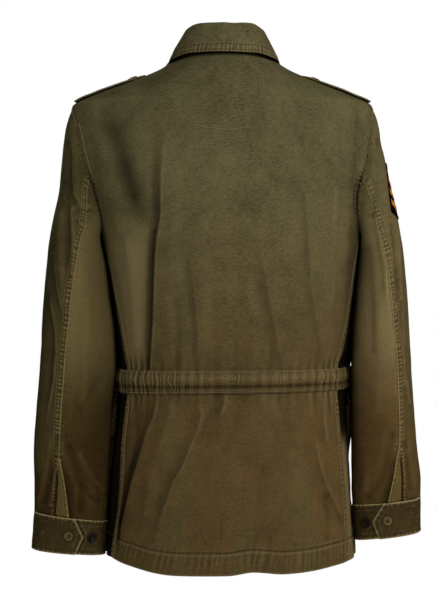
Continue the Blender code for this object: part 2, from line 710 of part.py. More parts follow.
def make_casing():
    """The strip round the waist, gathered over the cord that runs inside it."""
    columns = CASING_WAVES * 3
    middle_height = (CASING_TOP + CASING_BOTTOM) / 2
    end = front_turn_at_x(np.array(CASING_END), np.array(middle_height))
    turn = np.linspace(-end, end, columns + 1)
    wave = np.sin(2 * np.pi * CASING_WAVES * turn / (2 * end) + 1.3 * np.sin(9 * turn))
    ridge_height = CASING_TOP + (CASING_BOTTOM - CASING_TOP) * CORD_DOWN
    level = np.array([CASING_TOP, ridge_height, CASING_BOTTOM])
    tilt = np.interp(level, (CASING_BOTTOM, CASING_TOP), CASING_TILT[::-1])
    height = level[:, None] - tilt[:, None] * np.sin(np.pi * turn)
    inner, out = body_cloth(turn + 0 * height, height, CASING_LIE)
    swell = np.array([0.0, CORD_SWELL, 0.0])[:, None]
    ripple = np.array(CASING_RIPPLE)[:, None] * (1 + wave)
    wall("waist_casing", inner + out * (CLOTH + swell + ripple)[..., None], inner)


def pocket_lift(turn, height):
    """How far a lower pocket stands off the front."""
    first, last = POCKET_TURNS
    across = np.clip((np.abs(turn) - first) / (last - first), 0, 1)
    down = np.clip((POCKET_TOP - height) / (POCKET_TOP - POCKET_BOTTOM), 0, 1)
    upright = np.sin(np.pi * (POCKET_MOUTH + (1 - POCKET_MOUTH) * down))
    full = np.sin(np.pi * across) ** 0.5 * upright**0.6
    return LIE + POCKET_SWELL * full


def make_pocket(side, word):
    first, last = side * np.array(POCKET_TURNS)
    turn = first + (last - first) * np.linspace(0, 1, POCKET_COLUMNS + 1) ** FRONT_BUNCH
    height = np.linspace(POCKET_TOP, POCKET_BOTTOM, 7)[:, None] + 0 * turn
    turn = turn + 0 * height
    inner, out = body_cloth(turn, height, pocket_lift(turn, height))
    wall(f"pocket_{word}", inner + out * CLOTH, inner)
    flap_height, over = np.array(FLAP).T[:, :, None]
    height = flap_height + 0 * turn[:1]
    turn = turn[:1] + 0 * height
    lift = LIE + (pocket_lift(turn, height) - LIE + CLOTH + LIE) * over
    inner, out = body_cloth(turn, height, lift)
    wall(f"pocket_flap_{word}", inner + out * CLOTH, inner)


def strap_lift(along):
    """How far a strap stands off the shoulder, from 0 at the armhole to 1 at its point."""
    return LIE + STRAP_END_LIFT * (1 - along) ** 2 + STRAP_ARCH * np.sin(np.pi * along)


def make_strap(side, word):
    """A shoulder strap from the armhole seam to its point near the neck."""
    along = np.linspace(0, 1, 8)
    width = np.linspace(-1, 1, 5)[:, None]
    inner_end = STRAP_INNER - STRAP_POINT * (1 - np.abs(width))
    x = STRAP_OUTER[side] + (inner_end - STRAP_OUTER[side]) * along
    y = SHOULDER_Y + STRAP_HALF_WIDTH * width + 0 * x
    turn, height = shoulder_place(side, x, y)
    inner, out = body_cloth(turn, height, strap_lift(along) + 0 * x)
    wall(f"strap_{word}", inner + out * STRAP_THICK, inner)
    at = STRAP_INNER + STRAP_BUTTON_IN
    place = shoulder_place(side, np.array(at), np.array(SHOULDER_Y))
    share = (STRAP_OUTER[side] - at) / (STRAP_OUTER[side] - STRAP_INNER + STRAP_POINT)
    rise = strap_lift(share) + STRAP_THICK + 2 * SEAM + BUTTON_THICKNESS / 2
    button(f"strap_button_{word}", *body_cloth(*place, rise))


# ---- The collar -----------------------------------------------------------------------------


def collar_sizes(degrees):
    """Top of the stand, the fall's edge and the neckline, round the collar."""
    size = np.abs(degrees)
    side = np.where(degrees < 0, -1.0, 1.0)

    def column(name):
        return read(COLLAR, COLLAR_COLUMNS, name, size)

    top = np.stack([side * column("x"), column("y"), column("z")], axis=-1)
    edge_turn = side * column("edge turn")
    edge_height = column("edge height")
    lift = column("edge lift")
    edge = body(edge_turn, edge_height)
    edge += facing(body, edge_turn, edge_height) * lift[:, None]
    turn, height = neckline(np.radians(size))
    return top, edge, body(side * turn, height)


def make_collar():
    degrees = np.linspace(-COLLAR_END, COLLAR_END, COLLAR_COLUMNS_ROUND)
    top, edge, neck = collar_sizes(degrees)
    outwards = np.stack([np.sin(np.radians(degrees)), np.cos(np.radians(degrees))], axis=-1)
    base = neck.copy()
    base[:, :2] -= outwards * COLLAR_INSET
    base[:, 2] -= COLLAR_SINK
    along = np.gradient(top, axis=0)
    rising = unit(top - base)
    stand_out = unit(np.cross(rising, along))
    short = top - rising * STAND_SHORT
    rows = [base + (short - base) * share for share in (0, 0.5, 1)]
    outer = np.stack(rows) + stand_out * CLOTH / 2
    wall("collar_stand", outer, outer - stand_out * CLOTH, "shaded cloth")

    falling = unit(edge - top)
    out = unit(np.cross(along, falling))
    roll = [
        top + COLLAR_ROLL * (np.cos(turn) * out - np.sin(turn) * falling)
        for turn in np.radians(ROLL_DEGREES)
    ]
    start = top + COLLAR_ROLL * out
    swell = out * COLLAR_SWELL * np.cos(np.radians(degrees / 2))[:, None] ** 4
    drop = [
        start + (edge - start) * share + swell * np.sin(np.pi * share)
        for share in FALL_SHARES
    ]
    outer = np.stack(roll + drop)
    across = np.gradient(outer, axis=0)
    facing_out = unit(np.cross(np.gradient(outer, axis=1), across))
    wall("collar_fall", outer, outer - facing_out * CLOTH)


# ---- The sleeves ----------------------------------------------------------------------------


def armhole_ring(side, angles):
    """The sleeve's first ring, just inside the armhole's edge, and how its wall stands there.

    Where the sleeve drops away from the body the wall stands as the body's does, and where it
    leaves the body at a hollow corner the wall stands square to the sleeve.
    """
    knots = np.radians(np.arange(-6, 19) * 180 / ARMHOLE_STEPS)
    loop, out = body_cloth(*armhole(side, knots))
    ahead = body(*armhole(side, knots + 1e-3)) - body(*armhole(side, knots - 1e-3))
    centre = (loop.min(axis=0) + loop.max(axis=0)) / 2
    inwards = unit(np.cross(ahead, out))
    inwards *= np.sign(np.sum(inwards * (centre - loop), axis=1))[:, None]
    loop = loop + inwards * ARMHOLE_GAP
    later, sleeve_out = sleeve_cloth(side, knots, np.full(len(knots), NEAR_ARMHOLE))
    leaving = np.sum(unit(later - loop) * out, axis=1)
    share = np.clip(-leaving / DROPPING_AWAY, 0, 1)[:, None]
    stand = unit(out * share + sleeve_out * (1 - share))
    ring = np.stack([np.interp(angles, knots, loop[:, axis]) for axis in range(3)], axis=-1)
    rim = np.stack([np.interp(angles, knots, stand[:, axis]) for axis in range(3)], axis=-1)
    return ring, unit(rim)


def sleeve_downs():
    close = np.array([0.0, NEAR_ARMHOLE, 0.07])
    return np.concatenate([close, np.linspace(0.12, 1, SLEEVE_STEPS - 2)])


def back_seam(side, down):
    word = "left" if side > 0 else "right"
    return np.radians(read(BACK_SEAM, BACK_SEAM_COLUMNS, word, down))


def sleeve_panel(side, name, first, last, columns):
    """A sleeve panel between two seams, each an angle for every place down the arm."""
    down = sleeve_downs()[:, None]
    across = np.linspace(0, 1, columns + 1)
    angle = first(down) * (1 - across) + last(down) * across
    points, out = sleeve_cloth(side, angle, down + 0 * angle)
    points[0], out[0] = armhole_ring(side, angle[0])
    return panel(name, points, out)


def make_sleeve(side, word):
    def back(down):
        return back_seam(side, down)

    def front(down):
        return np.radians(FRONT_SEAM) + 0 * down

    def front_again(down):
        return front(down) + 2 * np.pi

    sleeve_panel(side, f"sleeve_upper_{word}", front, back, UPPER_COLUMNS)
    sleeve_panel(side, f"sleeve_under_{word}", back, front_again, UNDER_COLUMNS)


def make_vent_flap(side, word):
    """The folded edge of the slit above the cuff, which stands off the sleeve."""
    down = np.linspace(VENT_TOP, VENT_BOTTOM, 5)[:, None]
    share = (down - VENT_TOP) / (1 - VENT_TOP)
    across = np.linspace(0, 1, 3)
    half_width = (sleeve_rows(side)[1][-1, 0] - sleeve_rows(side)[1][-1, 3]) * side / 2
    width = (VENT_TIP_WIDTH + VENT_WIDTH * share) / half_width
    angle = back_seam(side, down) + width * across
    lift = LIE + VENT_LIFT * share * across
    inner, out = sleeve_cloth(side, angle, down + 0 * angle, lift)
    wall(f"vent_flap_{word}", inner + out * CLOTH, inner)


def make_cuff(side, word):
    down = np.linspace(0, 1, 3)[:, None]
    last = np.interp(down, CUFF_END_HEIGHTS, CUFF_POINT[side])
    across = np.linspace(0, 1, 27)
    degrees = CUFF_START + (last - CUFF_START) * across
    rises_from, over = CUFF_LIFT_DEGREES
    share = np.clip((degrees - rises_from) / over, 0, 1)
    lift = CUFF_OVERLAP_LIFT[side] * share**2 * (3 - 2 * share)
    place = CUFF_CLEAR + down * (1 - CUFF_CLEAR)
    outer, out = cuff_cloth(side, np.radians(degrees), place, lift)
    wall(f"cuff_{word}", outer, outer - out * DOUBLE, "shaded cloth")
    angle = np.radians(CUFF_BUTTON_ANGLE[side])
    rise = SEAM + BUTTON_THICKNESS / 2
    button(f"cuff_button_{word}", *cuff_cloth(side, np.array(angle), np.array(0.5), rise))


def make_badge():
    """A chevron badge on the outer side of the right sleeve."""
    side = -1
    degrees = np.linspace(-BADGE_HALF_DEGREES, BADGE_HALF_DEGREES, 9)
    drop = BADGE_DROP * (1 - np.abs(degrees) / BADGE_HALF_DEGREES)
    height = BADGE_TOP - np.linspace(0, BADGE_HEIGHT, 5)[:, None] - drop
    angle = np.radians(degrees + np.linspace(*BADGE_MIDDLE, len(height))[:, None])
    low = np.zeros(height.shape)
    high = np.ones(height.shape)
    for _ in range(30):
        down = (low + high) / 2
        above = sleeve(side, angle, down)[..., 2] > height
        low = np.where(above, down, low)
        high = np.where(above, high, down)
    inner, out = sleeve_cloth(side, angle, down, LIE)
    wall("sleeve_badge", inner + out * CLOTH, inner, "badge")


def main():
    for thing in list(bpy.data.objects):
        bpy.data.objects.remove(thing)
    collection = bpy.data.collections.new("Field jacket")
    bpy.context.scene.collection.children.link(collection)
    make_back()
    make_front_band()
    make_casing()
    make_collar()
    for side, word in ((1, "left"), (-1, "right")):
        make_front(side, f"front_{word}")
        make_pocket(side, word)
        make_strap(side, word)
        make_sleeve(side, word)
        make_vent_flap(side, word)
        make_cuff(side, word)
    make_badge()


main()
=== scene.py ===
"""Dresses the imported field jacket: its cloth, stitching, buttons and badge, in metres.

+Z is up, the back of the jacket faces +Y and the wearer's left is +X. The cloth lies on the same
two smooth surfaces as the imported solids. A place on the body is named by its turn (0 at the
centre of the back, 0.5 on the wearer's left side, 1 at the centre of the front) and its height,
and a place on a sleeve by its angle (0 on the outer side, a quarter turn at the back) and by how
far down the arm it lies.
"""

import math
from functools import partial

import bpy
import numpy as np
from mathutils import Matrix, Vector, kdtree, noise


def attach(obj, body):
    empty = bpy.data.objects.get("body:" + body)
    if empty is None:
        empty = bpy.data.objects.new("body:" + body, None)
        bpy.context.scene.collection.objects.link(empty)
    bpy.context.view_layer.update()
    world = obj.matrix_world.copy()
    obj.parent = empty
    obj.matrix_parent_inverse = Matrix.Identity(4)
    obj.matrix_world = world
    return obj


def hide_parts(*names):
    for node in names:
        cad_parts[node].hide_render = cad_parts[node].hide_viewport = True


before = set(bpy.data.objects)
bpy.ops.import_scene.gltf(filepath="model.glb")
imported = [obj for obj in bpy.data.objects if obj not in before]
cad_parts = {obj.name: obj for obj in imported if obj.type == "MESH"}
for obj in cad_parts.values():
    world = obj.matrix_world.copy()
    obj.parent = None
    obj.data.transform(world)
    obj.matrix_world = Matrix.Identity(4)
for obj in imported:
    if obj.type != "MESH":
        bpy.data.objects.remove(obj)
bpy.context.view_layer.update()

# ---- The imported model's own measures --------------------------------------------------------

WORDS = {1: "left", -1: "right"}  # the wearer's sides, along x
CLOTH = 0.0016
DOUBLE = 0.0022
ARMHOLE_GAP = 0.00045
LIE = 0.0008  # room under what lies on another cloth

SHOULDER_Y = -0.010
NECK_HALF = 0.0815
NECK_DROP = 0.085
NECK_RISE = 0.0065
NECK_RISE_FADES = 0.045
TIP_Z = -0.0645
UNDERARM_Z = -0.255
UNDERARM_Y = 0.012
HEM_Z = -0.745
ARMHOLE_REACH = 0.0565

TORSO_COLUMNS = ("height", "left", "right", "back", "front", "square")
TORSO = (
    (0.012, 0.064, 0.064, 0.075, 0.022, 2.0),
    (0.000, 0.0815, 0.0815, 0.085, 0.030, 2.0),
    (-0.012, 0.102, 0.102, 0.094, 0.037, 2.0),
    (-0.030, 0.147, 0.144, 0.104, 0.048, 2.0),
    (-0.048, 0.1955, 0.190, 0.112, 0.059, 2.1),
    (-0.065, 0.2275, 0.2220, 0.118, 0.070, 2.2),
    (-0.085, 0.2300, 0.2265, 0.124, 0.079, 2.2),
    (-0.111, 0.2285, 0.2275, 0.129, 0.090, 2.3),
    (-0.150, 0.2235, 0.226, 0.133, 0.105, 2.4),
    (-0.205, 0.2035, 0.213, 0.135, 0.118, 2.4),
    (-0.255, 0.1830, 0.2035, 0.134, 0.121, 2.4),
    (-0.300, 0.1735, 0.1985, 0.130, 0.119, 2.4),
    (-0.350, 0.1662, 0.1940, 0.123, 0.114, 2.4),
    (-0.401, 0.1595, 0.1895, 0.118, 0.108, 2.4),
    (-0.430, 0.1560, 0.1850, 0.1145, 0.106, 2.4),
    (-0.458, 0.1525, 0.1785, 0.1123, 0.1043, 2.4),
    (-0.490, 0.1525, 0.1780, 0.1123, 0.1045, 2.4),
    (-0.515, 0.1555, 0.1800, 0.114, 0.107, 2.4),
    (-0.560, 0.1610, 0.1840, 0.119, 0.111, 2.4),
    (-0.640, 0.1685, 0.1890, 0.128, 0.119, 2.4),
    (-0.755, 0.1775, 0.1955, 0.138, 0.126, 2.4),
)
FULLER_COLUMNS = ("height", "left", "right")
FULLER = (
    # the unwaisted front hangs this much wider than the back
    (-0.205, 0.0000, 0.0000),
    (-0.235, 0.0050, 0.0060),
    (-0.262, 0.0150, 0.0165),
    (-0.285, 0.0185, 0.0180),
    (-0.350, 0.0190, 0.0165),
    (-0.401, 0.0190, 0.0175),
    (-0.430, 0.0205, 0.0205),
    (-0.458, 0.0222, 0.0228),
    (-0.490, 0.0222, 0.0244),
    (-0.515, 0.0165, 0.0180),
    (-0.560, 0.0130, 0.0100),
    (-0.600, 0.0120, 0.0010),
    (-0.655, 0.0140, 0.0020),
    (-0.700, 0.0150, 0.0125),
    (-0.755, 0.0120, 0.0125),
)
FULLER_TURNS = (0.485, 0.605)  # it grows wider between these turns
HEM_COLUMNS = ("turn", "height")
HEM = (
    (-1.00, -0.745),
    (-0.50, -0.737),
    (-0.32, -0.7405),
    (-0.12, -0.7475),
    (-0.05, -0.744),
    (0.00, -0.749),
    (0.10, -0.7495),
    (0.28, -0.7395),
    (0.50, -0.729),
    (1.00, -0.745),
)
SIDE_SEAM_COLUMNS = ("height", "y")
SIDE_SEAM = ((-0.255, UNDERARM_Y), (-0.350, 0.030), (-0.470, 0.040), (-0.755, 0.050))
SLEEVE = {
    # outer x, y, z, inner x, y, z, reach
    1: (
        (0.2335, -0.010, -0.080, 0.1850, 0.011, -0.2600, 0.0640),
        (0.2395, -0.007, -0.105, 0.1845, 0.007, -0.2670, 0.0705),
        (0.2435, -0.003, -0.145, 0.1825, 0.002, -0.2780, 0.0750),
        (0.2470, 0.002, -0.185, 0.1795, -0.003, -0.2900, 0.0775),
        (0.2560, 0.006, -0.235, 0.1765, -0.006, -0.3020, 0.0780),
        (0.2635, 0.009, -0.285, 0.1740, -0.008, -0.3200, 0.0770),
        (0.2680, 0.011, -0.335, 0.1705, -0.008, -0.3500, 0.0740),
        (0.2725, 0.012, -0.395, 0.1640, -0.008, -0.4000, 0.0670),
        (0.2755, 0.012, -0.450, 0.1630, -0.008, -0.4500, 0.0600),
        (0.2815, 0.008, -0.520, 0.1685, -0.008, -0.5200, 0.0530),
        (0.2855, 0.003, -0.580, 0.1715, -0.006, -0.5840, 0.0470),
        (0.2858, -0.002, -0.630, 0.1740, -0.004, -0.6380, 0.0400),
        (0.2858, -0.004, -0.672, 0.1755, -0.004, -0.6860, 0.0340),
    ),
    -1: (
        (-0.2290, -0.010, -0.080, -0.2055, 0.011, -0.2605, 0.0640),
        (-0.2345, -0.008, -0.105, -0.2050, 0.007, -0.2680, 0.0705),
        (-0.2410, -0.006, -0.145, -0.2040, 0.002, -0.2800, 0.0760),
        (-0.2490, -0.004, -0.185, -0.2025, -0.003, -0.2920, 0.0790),
        (-0.2615, -0.003, -0.235, -0.2010, -0.006, -0.3030, 0.0800),
        (-0.2690, -0.002, -0.285, -0.1990, -0.008, -0.3200, 0.0800),
        (-0.2745, -0.002, -0.335, -0.1965, -0.008, -0.3500, 0.0770),
        (-0.2785, -0.002, -0.395, -0.1925, -0.008, -0.4000, 0.0700),
        (-0.2812, -0.001, -0.450, -0.1915, -0.008, -0.4500, 0.0630),
        (-0.2858, 0.000, -0.520, -0.1915, -0.006, -0.5200, 0.0560),
        (-0.2910, 0.000, -0.585, -0.1915, -0.004, -0.5820, 0.0500),
        (-0.2955, -0.002, -0.625, -0.1915, -0.002, -0.6350, 0.0430),
        (-0.2955, -0.003, -0.650, -0.1930, -0.003, -0.6620, 0.0350),
    ),
}
CUFF_END = {
    1: (0.2900, -0.005, -0.7280, 0.1780, -0.005, -0.7370, 0.0330),
    -1: (-0.2965, -0.003, -0.7010, -0.1957, -0.003, -0.7145, 0.0330),
}
BACK_SEAM_COLUMNS = ("down", "left", "right")
BACK_SEAM = (
    (0.00, 100.0, 100.0),
    (0.04, 105.0, 101.0),
    (0.08, 110.0, 100.5),
    (0.13, 107.0, 98.5),
    (0.20, 99.0, 94.5),
    (0.27, 94.0, 87.5),
    (0.42, 82.5, 75.5),
    (0.58, 75.0, 66.0),
    (0.74, 75.0, 66.0),
    (0.88, 74.5, 70.0),
    (1.00, 69.5, 69.5),
)
FRONT_SEAM = -120.0
SETTLING = 0.2
MIDDLE_REACH = 0.06
SIDE_ROOM = 0.0022
CASING_ROOM = 0.0092
CASING_ROOM_HALF_HEIGHT = 0.024
SOFTNESS = 0.004
PRESSED_FROM = 0.06
NEAR_ARMHOLE = 0.03
DROPPING_AWAY = 0.15

COLLAR_COLUMNS = ("degrees", "x", "y", "z", "edge turn", "edge height", "edge lift")
COLLAR_END = 176.0
COLLAR = (
    (0, 0.0000, 0.0680, 0.0480, 0.000, -0.002, 0.0135),
    (30, 0.0350, 0.0585, 0.0480, 0.165, -0.002, 0.0122),
    (60, 0.0560, 0.0325, 0.0415, 0.330, -0.002, 0.0062),
    (90, 0.0610, -0.0100, 0.0330, 0.500, -0.001, 0.0024),
    (105, 0.0600, -0.0320, 0.0120, 0.700, -0.020, 0.0050),
    (120, 0.0570, -0.0530, -0.0105, 0.840, -0.046, 0.0050),
    (150, 0.0360, -0.0730, -0.0456, 0.914, -0.095, 0.0050),
    (COLLAR_END, 0.0066, -0.0810, -0.0587, 0.948, -0.122, 0.0050),
)
COLLAR_ROLL = 0.0034
COLLAR_SWELL = 0.0025
COLLAR_INSET = 0.0031
COLLAR_SINK = 0.004
COLLAR_EDGE = (
    # each line of stitches: its inset, then pitch and depth of its puckers, wear and fineness
    (0.0110, 0.0060, 0.00070, 0.25, 0.7),
    (0.0026, 0.0052, 0.0001, 0.1, 0.5),
)

STRAP_HALF_WIDTH = 0.0225
STRAP_OUTER = {1: 0.2215, -1: 0.2165}
STRAP_INNER = 0.132
STRAP_POINT = 0.015
STRAP_THICK = 0.0030
STRAP_ARCH = 0.0010
STRAP_END_LIFT = 0.0012

CASING_TOP = -0.4575
CASING_BOTTOM = -0.4905
CASING_END = 0.030
CASING_TILT = (0.0014, 0.0030)
CASING_LIE = 0.0012
CASING_STEPS = 820
CASING_RIB = 0.0068
CASING_LEANING_RIB = 0.0049

BAND_HALF_WIDTH = 0.022
BAND_TOP = -0.090

POCKET_TURNS = (0.535, 0.900)
POCKET_TOP = -0.515
POCKET_BOTTOM = -0.700
POCKET_SWELL = 0.0085
POCKET_MOUTH = 0.18
FLAP_COLUMNS = ("height", "over the pocket")
FLAP = (
    (-0.4975, 0.0),
    (-0.5095, 1.0),
    (-0.5300, 1.1),
    (-0.5460, 1.3),
    (-0.5620, 1.5),
)
CUFF_START = 60.0
CUFF_END_HEIGHTS = (0.0, 0.5, 1.0)
CUFF_POINT = {1: (458.5, 473.0, 462.5), -1: (458.5, 477.0, 467.5)}
CUFF_BUTTON_ANGLE = {1: 129.0, -1: 131.0}
HIDDEN_BUTTON_ANGLE = {1: 451.5, -1: 453.0}
CUFF_OVERLAP_LIFT = {1: 0.0034, -1: 0.0056}
CUFF_LIFT_DEGREES = (370.0, 45.0)
CUFF_CLEAR = 0.008
VENT_TOP = 0.828
VENT_BOTTOM = 0.995
VENT_WIDTH = 0.019
VENT_TIP_WIDTH = 0.0015
VENT_LIFT = 0.0045
BADGE_HALF_DEGREES = 33.0
BADGE_MIDDLE = (-2.0, 19.0)
BADGE_TOP = -0.152
BADGE_HEIGHT = 0.074
BADGE_DROP = 0.009
BADGE_LIES = 0.0010
BADGE_RIM = 0.0005  # how far its overcast edge stands up
CHEVRONS = (0.285, 0.515, 0.745)  # their middles, as shares of the badge's height
CHEVRON_WIDTH = 0.105
CHEVRON_REACH = 0.80  # share of the badge's width
CHEVRON_STEEP = 0.05
FRONT_BUTTONS = 6
FRONT_BUTTON_TOP = -0.118
FRONT_BUTTON_PITCH = 0.105
BUTTON_THICK = 0.0028
STRAP_BUTTON_IN = 0.004  # from where the strap's point begins
STRAP_BUTTON_RISE = 0.0010
CUFF_BUTTON_LIE = 0.0003

# ---- The camera, and places named by where it sees them -------------------------------------

EYE = (0.00825, 2.45, -0.364)
VIEW = (437, 612)  # steps across and down the view
FOCAL = 1629.0  # in the same steps
TO_BACK = 2.33
TO_SLEEVE = 2.40


def spot(place, away):
    """x and z of a place given in steps across and down the view, so far from the eye."""
    across, down = place
    step = away / FOCAL
    return EYE[0] - (across - VIEW[0] / 2) * step, EYE[2] - (down - VIEW[1] / 2) * step


on_the_back = partial(spot, away=TO_BACK)
on_a_sleeve = partial(spot, away=TO_SLEEVE)


BACK_CREASES = (
    # depth (troughs below 0), width of the bank on the left and on the right as seen from
    # behind, in millimetres, then places down the crease in steps of the view
    (2.2, 12, 14, (176, 165), (172, 230), (168, 300), (165, 355)),
    (-4.4, 17, 13, (101, 108), (112, 126), (121, 150), (129, 178), (134, 212)),
    (1.3, 12, 10, (92, 120), (103, 150), (112, 185), (117, 225)),
    (1.8, 8, 8, (126, 240), (131, 290), (134, 345)),
    (-0.7, 7, 7, (301, 140), (309, 158), (314, 172)),
    (-3.6, 9, 7, (363, 106), (361, 126), (359, 160), (355, 205)),
    (-2.4, 10, 9, (350, 130), (346, 170), (342, 220)),
    (1.5, 8, 7, (338, 190), (336, 240), (334, 300)),
    (-2.0, 9, 9, (346, 270), (342, 320), (339, 362)),
    (1.4, 10, 10, (200, 220), (203, 290), (204, 345)),
    (-1.5, 14, 14, (232, 150), (236, 220), (240, 300)),
    (-1.5, 10, 10, (214, 300), (217, 340), (216, 366)),
    (1.4, 10, 10, (250, 280), (255, 330), (256, 366)),
    (-1.8, 7, 8, (176, 300), (178, 335), (176, 366)),
    (2.6, 10, 10, (170, 410), (163, 440), (152, 475), (147, 515)),
    (-2.4, 8, 10, (216, 397), (208, 420), (198, 440)),
    (-1.7, 10, 9, (240, 400), (236, 425), (226, 450)),
    (-1.8, 9, 9, (281, 400), (286, 424), (294, 446)),
    (-1.8, 10, 10, (262, 470), (258, 500), (256, 540)),
    (1.4, 12, 12, (228, 470), (226, 510), (224, 545)),
    (1.6, 10, 10, (290, 460), (292, 500), (296, 540)),
    (-3.2, 9, 7, (329, 500), (331, 520), (330, 540)),
    (-2.0, 5, 6, (134, 400), (132, 440), (126, 470)),
)
BACK_PLEATS = (
    # height, width of the steep bank that rises to the right as seen from behind, and of the
    # trough and the crest on either side of it, in millimetres, then places down the crest
    (9.0, 13, 18, 15, (166, 118), (163, 150), (161, 176), (160.5, 200), (160, 219), (156.5, 236),
     (154.5, 257), (153.5, 279), (152.8, 300), (152.2, 321), (151, 336), (149, 364), (148, 392)),
    (8.0, 14, 14, 12, (158, 384), (157, 402), (153, 420), (146, 434), (140, 453), (130, 483),
     (124, 508), (119, 530), (116, 560)),
    (3.2, 12, 14, 12, (195, 384), (197, 400), (202, 416), (198, 432), (189, 450), (182, 468),
     (172, 484), (166, 503), (158, 524), (152, 552)),
    (2.4, 22, 16, 13, (290, 136), (298, 166), (304, 190), (307, 210), (309, 240), (311, 280),
     (316, 310), (322, 340), (330, 375)),
    (3.6, 14, 13, 11, (315, 425), (319, 450), (322, 470), (330, 492), (341, 514), (351, 536)),
    (1.1, 7, 8, 8, (311, 128), (321, 141), (331, 155), (344, 171)),
    (2.8, 8, 9, 8, (321, 386), (325, 405), (327, 430), (331, 456)),
    (2.2, 10, 13, 13, (256, 226), (265, 270), (272, 310), (280, 350), (285, 378)),
    (2.0, 8, 12, 12, (188, 240), (194, 290), (198, 335), (197, 376)),
    (1.8, 6, 8, 8, (226, 392), (224, 406), (219, 420)),
)
BACK_DUSK = (
    # soft streaks of painted shade beside the folds: how dark, and how wide in millimetres, then
    # places as above
    (0.46, 13, (98, 112), (112, 130), (122, 158), (131, 190), (138, 216)),
    (0.34, 20, (124, 396), (119, 440), (114, 500), (113, 552)),
    (0.22, 20, (112, 150), (128, 178), (146, 205), (156, 225)),
    (0.16, 12, (362, 106), (360, 150), (356, 200)),
)
NECK_STITCHES = (
    # the faced rectangle below the collar: its sides and its lower edge, places as above
    ((198, 72), (199, 126)),
    ((259, 72), (258, 126)),
    ((199, 126), (228, 129), (258, 126)),
)
FRONT_CREASES = (
    # depth, width of either bank in millimetres, then x and z in millimetres
    (-5.0, 14, 14, (150, -120), (120, -240), (110, -330)),
    (-5.0, 14, 14, (-155, -130), (-130, -230), (-125, -310)),
    (-4.5, 14, 14, (60, -330), (66, -430)),
    (-4.5, 14, 14, (-70, -350), (-76, -430)),
    (2.0, 15, 15, (95, -200), (88, -300), (90, -400)),
    (2.0, 15, 15, (-98, -200), (-95, -300), (-100, -400)),
    (-1.8, 10, 14, (40, -170), (52, -250), (50, -320)),
    (-1.8, 14, 10, (-45, -180), (-50, -260), (-56, -330)),
    (-1.6, 10, 10, (42, -510), (46, -580), (44, -660)),
    (-1.6, 10, 10, (-46, -510), (-52, -590), (-48, -670)),
)
SLEEVE_CREASES = {
    # as the back's, for the sides of the sleeves that face back
    1: (
        (2.2, 5, 7, (77, 140), (80, 160), (80, 185), (84, 198)),
        (-3.0, 6, 6, (64, 182), (68, 210), (70, 240), (71, 278)),
        (2.0, 5, 5, (73, 210), (75, 240), (73, 280)),
        (2.0, 7, 7, (61, 215), (61, 250), (66, 300)),
        (-2.2, 7, 7, (62, 140), (58, 180), (54, 210)),
        (-1.8, 7, 9, (99, 380), (88, 400), (80, 408)),
        (1.6, 9, 9, (88, 300), (86, 350), (84, 400)),
        (-3.0, 6, 6, (57, 438), (52, 465), (46, 486), (41, 503)),
        (2.0, 4, 4, (58, 462), (53, 484), (49, 506)),
        (-2.6, 7, 8, (69, 448), (76, 470), (82, 490), (80, 512)),
        (-1.8, 6, 6, (82, 488), (90, 498), (98, 504)),
        (1.2, 7, 7, (80, 456), (90, 476), (101, 492)),
        (-1.2, 8, 8, (104, 420), (100, 450), (98, 478)),
        (-2.0, 5, 5, (90, 211), (97, 212)),
    ),
    -1: (
        (-3.5, 8, 8, (381, 140), (377, 170), (370, 215)),
        (1.8, 6, 6, (387, 150), (384, 190), (384, 230)),
        (2.2, 4, 4, (397, 232), (399, 265), (401, 298)),
        (-2.0, 4, 5, (391, 226), (394, 262), (396, 300)),
        (-1.8, 8, 6, (366, 250), (370, 300), (372, 350)),
        (1.4, 8, 8, (378, 300), (380, 360), (378, 410)),
        (2.0, 5, 5, (403, 362), (406, 380), (411, 402)),
        (-2.2, 6, 6, (404, 390), (406, 420), (407, 446)),
        (-2.0, 8, 7, (392, 436), (386, 462), (381, 482), (370, 499)),
        (-1.4, 7, 7, (354, 458), (358, 472), (360, 488)),
        (1.1, 7, 7, (365, 446), (370, 470), (366, 490)),
        (-2.6, 5, 6, (405, 444), (409, 465), (412, 490)),
    ),
}
SLEEVE_PLEATS = {
    1: (
        (5.5, 8, 8, 8, (66, 112), (70, 134), (74, 156), (74, 178), (76, 194), (82, 206), (92, 212),
         (104, 214)),
        (2.6, 6, 8, 7, (53, 240), (56, 266), (60, 295), (66, 322)),
        (3.6, 8, 9, 8, (47, 275), (52, 305), (57, 330), (57, 352), (54, 380), (49, 405), (44, 436)),
    ),
    -1: (
        (2.4, 7, 8, 7, (372, 200), (376, 230), (384, 268), (386, 310)),
        (2.2, 7, 8, 7, (402, 300), (404, 335), (402, 372)),
    ),
}
SLEEVE_FRONT_CREASES = {
    # the same in millimetres of x and z, for the sides that face forward
    1: (
        (-5.0, 12, 12, (175, -325), (235, -345)),
        (-4.0, 12, 12, (178, -375), (245, -385)),
        (-2.5, 9, 9, (182, -350), (225, -362)),
        (-2.0, 10, 10, (255, -430), (262, -560)),
    ),
    -1: (
        (-5.0, 12, 12, (-195, -330), (-240, -340)),
        (-4.0, 12, 12, (-195, -385), (-250, -380)),
        (-2.5, 9, 9, (-200, -356), (-235, -362)),
        (-2.0, 10, 10, (-262, -430), (-270, -560)),
    ),
}
FOLD_TURN = 0.030  # a crease on one face fades out over this depth at the side
PLEAT_TROUGH = 0.6  # share of a sharp fold's height that lies below the cloth
PLEAT_BEND = 1.6
PLEAT_FADE = 0.26  # share of its length over which it begins and ends
DUSK_FULL_AT = 8.5  # a fold this many millimetres high would be quite dark on its bank
DUSK_MOST = 0.92
DUSK_BANK = 0.8  # share of the bank's width that lies in shade
DUSK_FADES = 1.3
GATHERS = (
    # size, number in half a round, how far and how often they slip along, where the slips start,
    # and how they lean
    (1.0, 34, 2.4, 11, 0, 9),
    (0.6, 21.3, 1.7, 17, 1, -14),
)
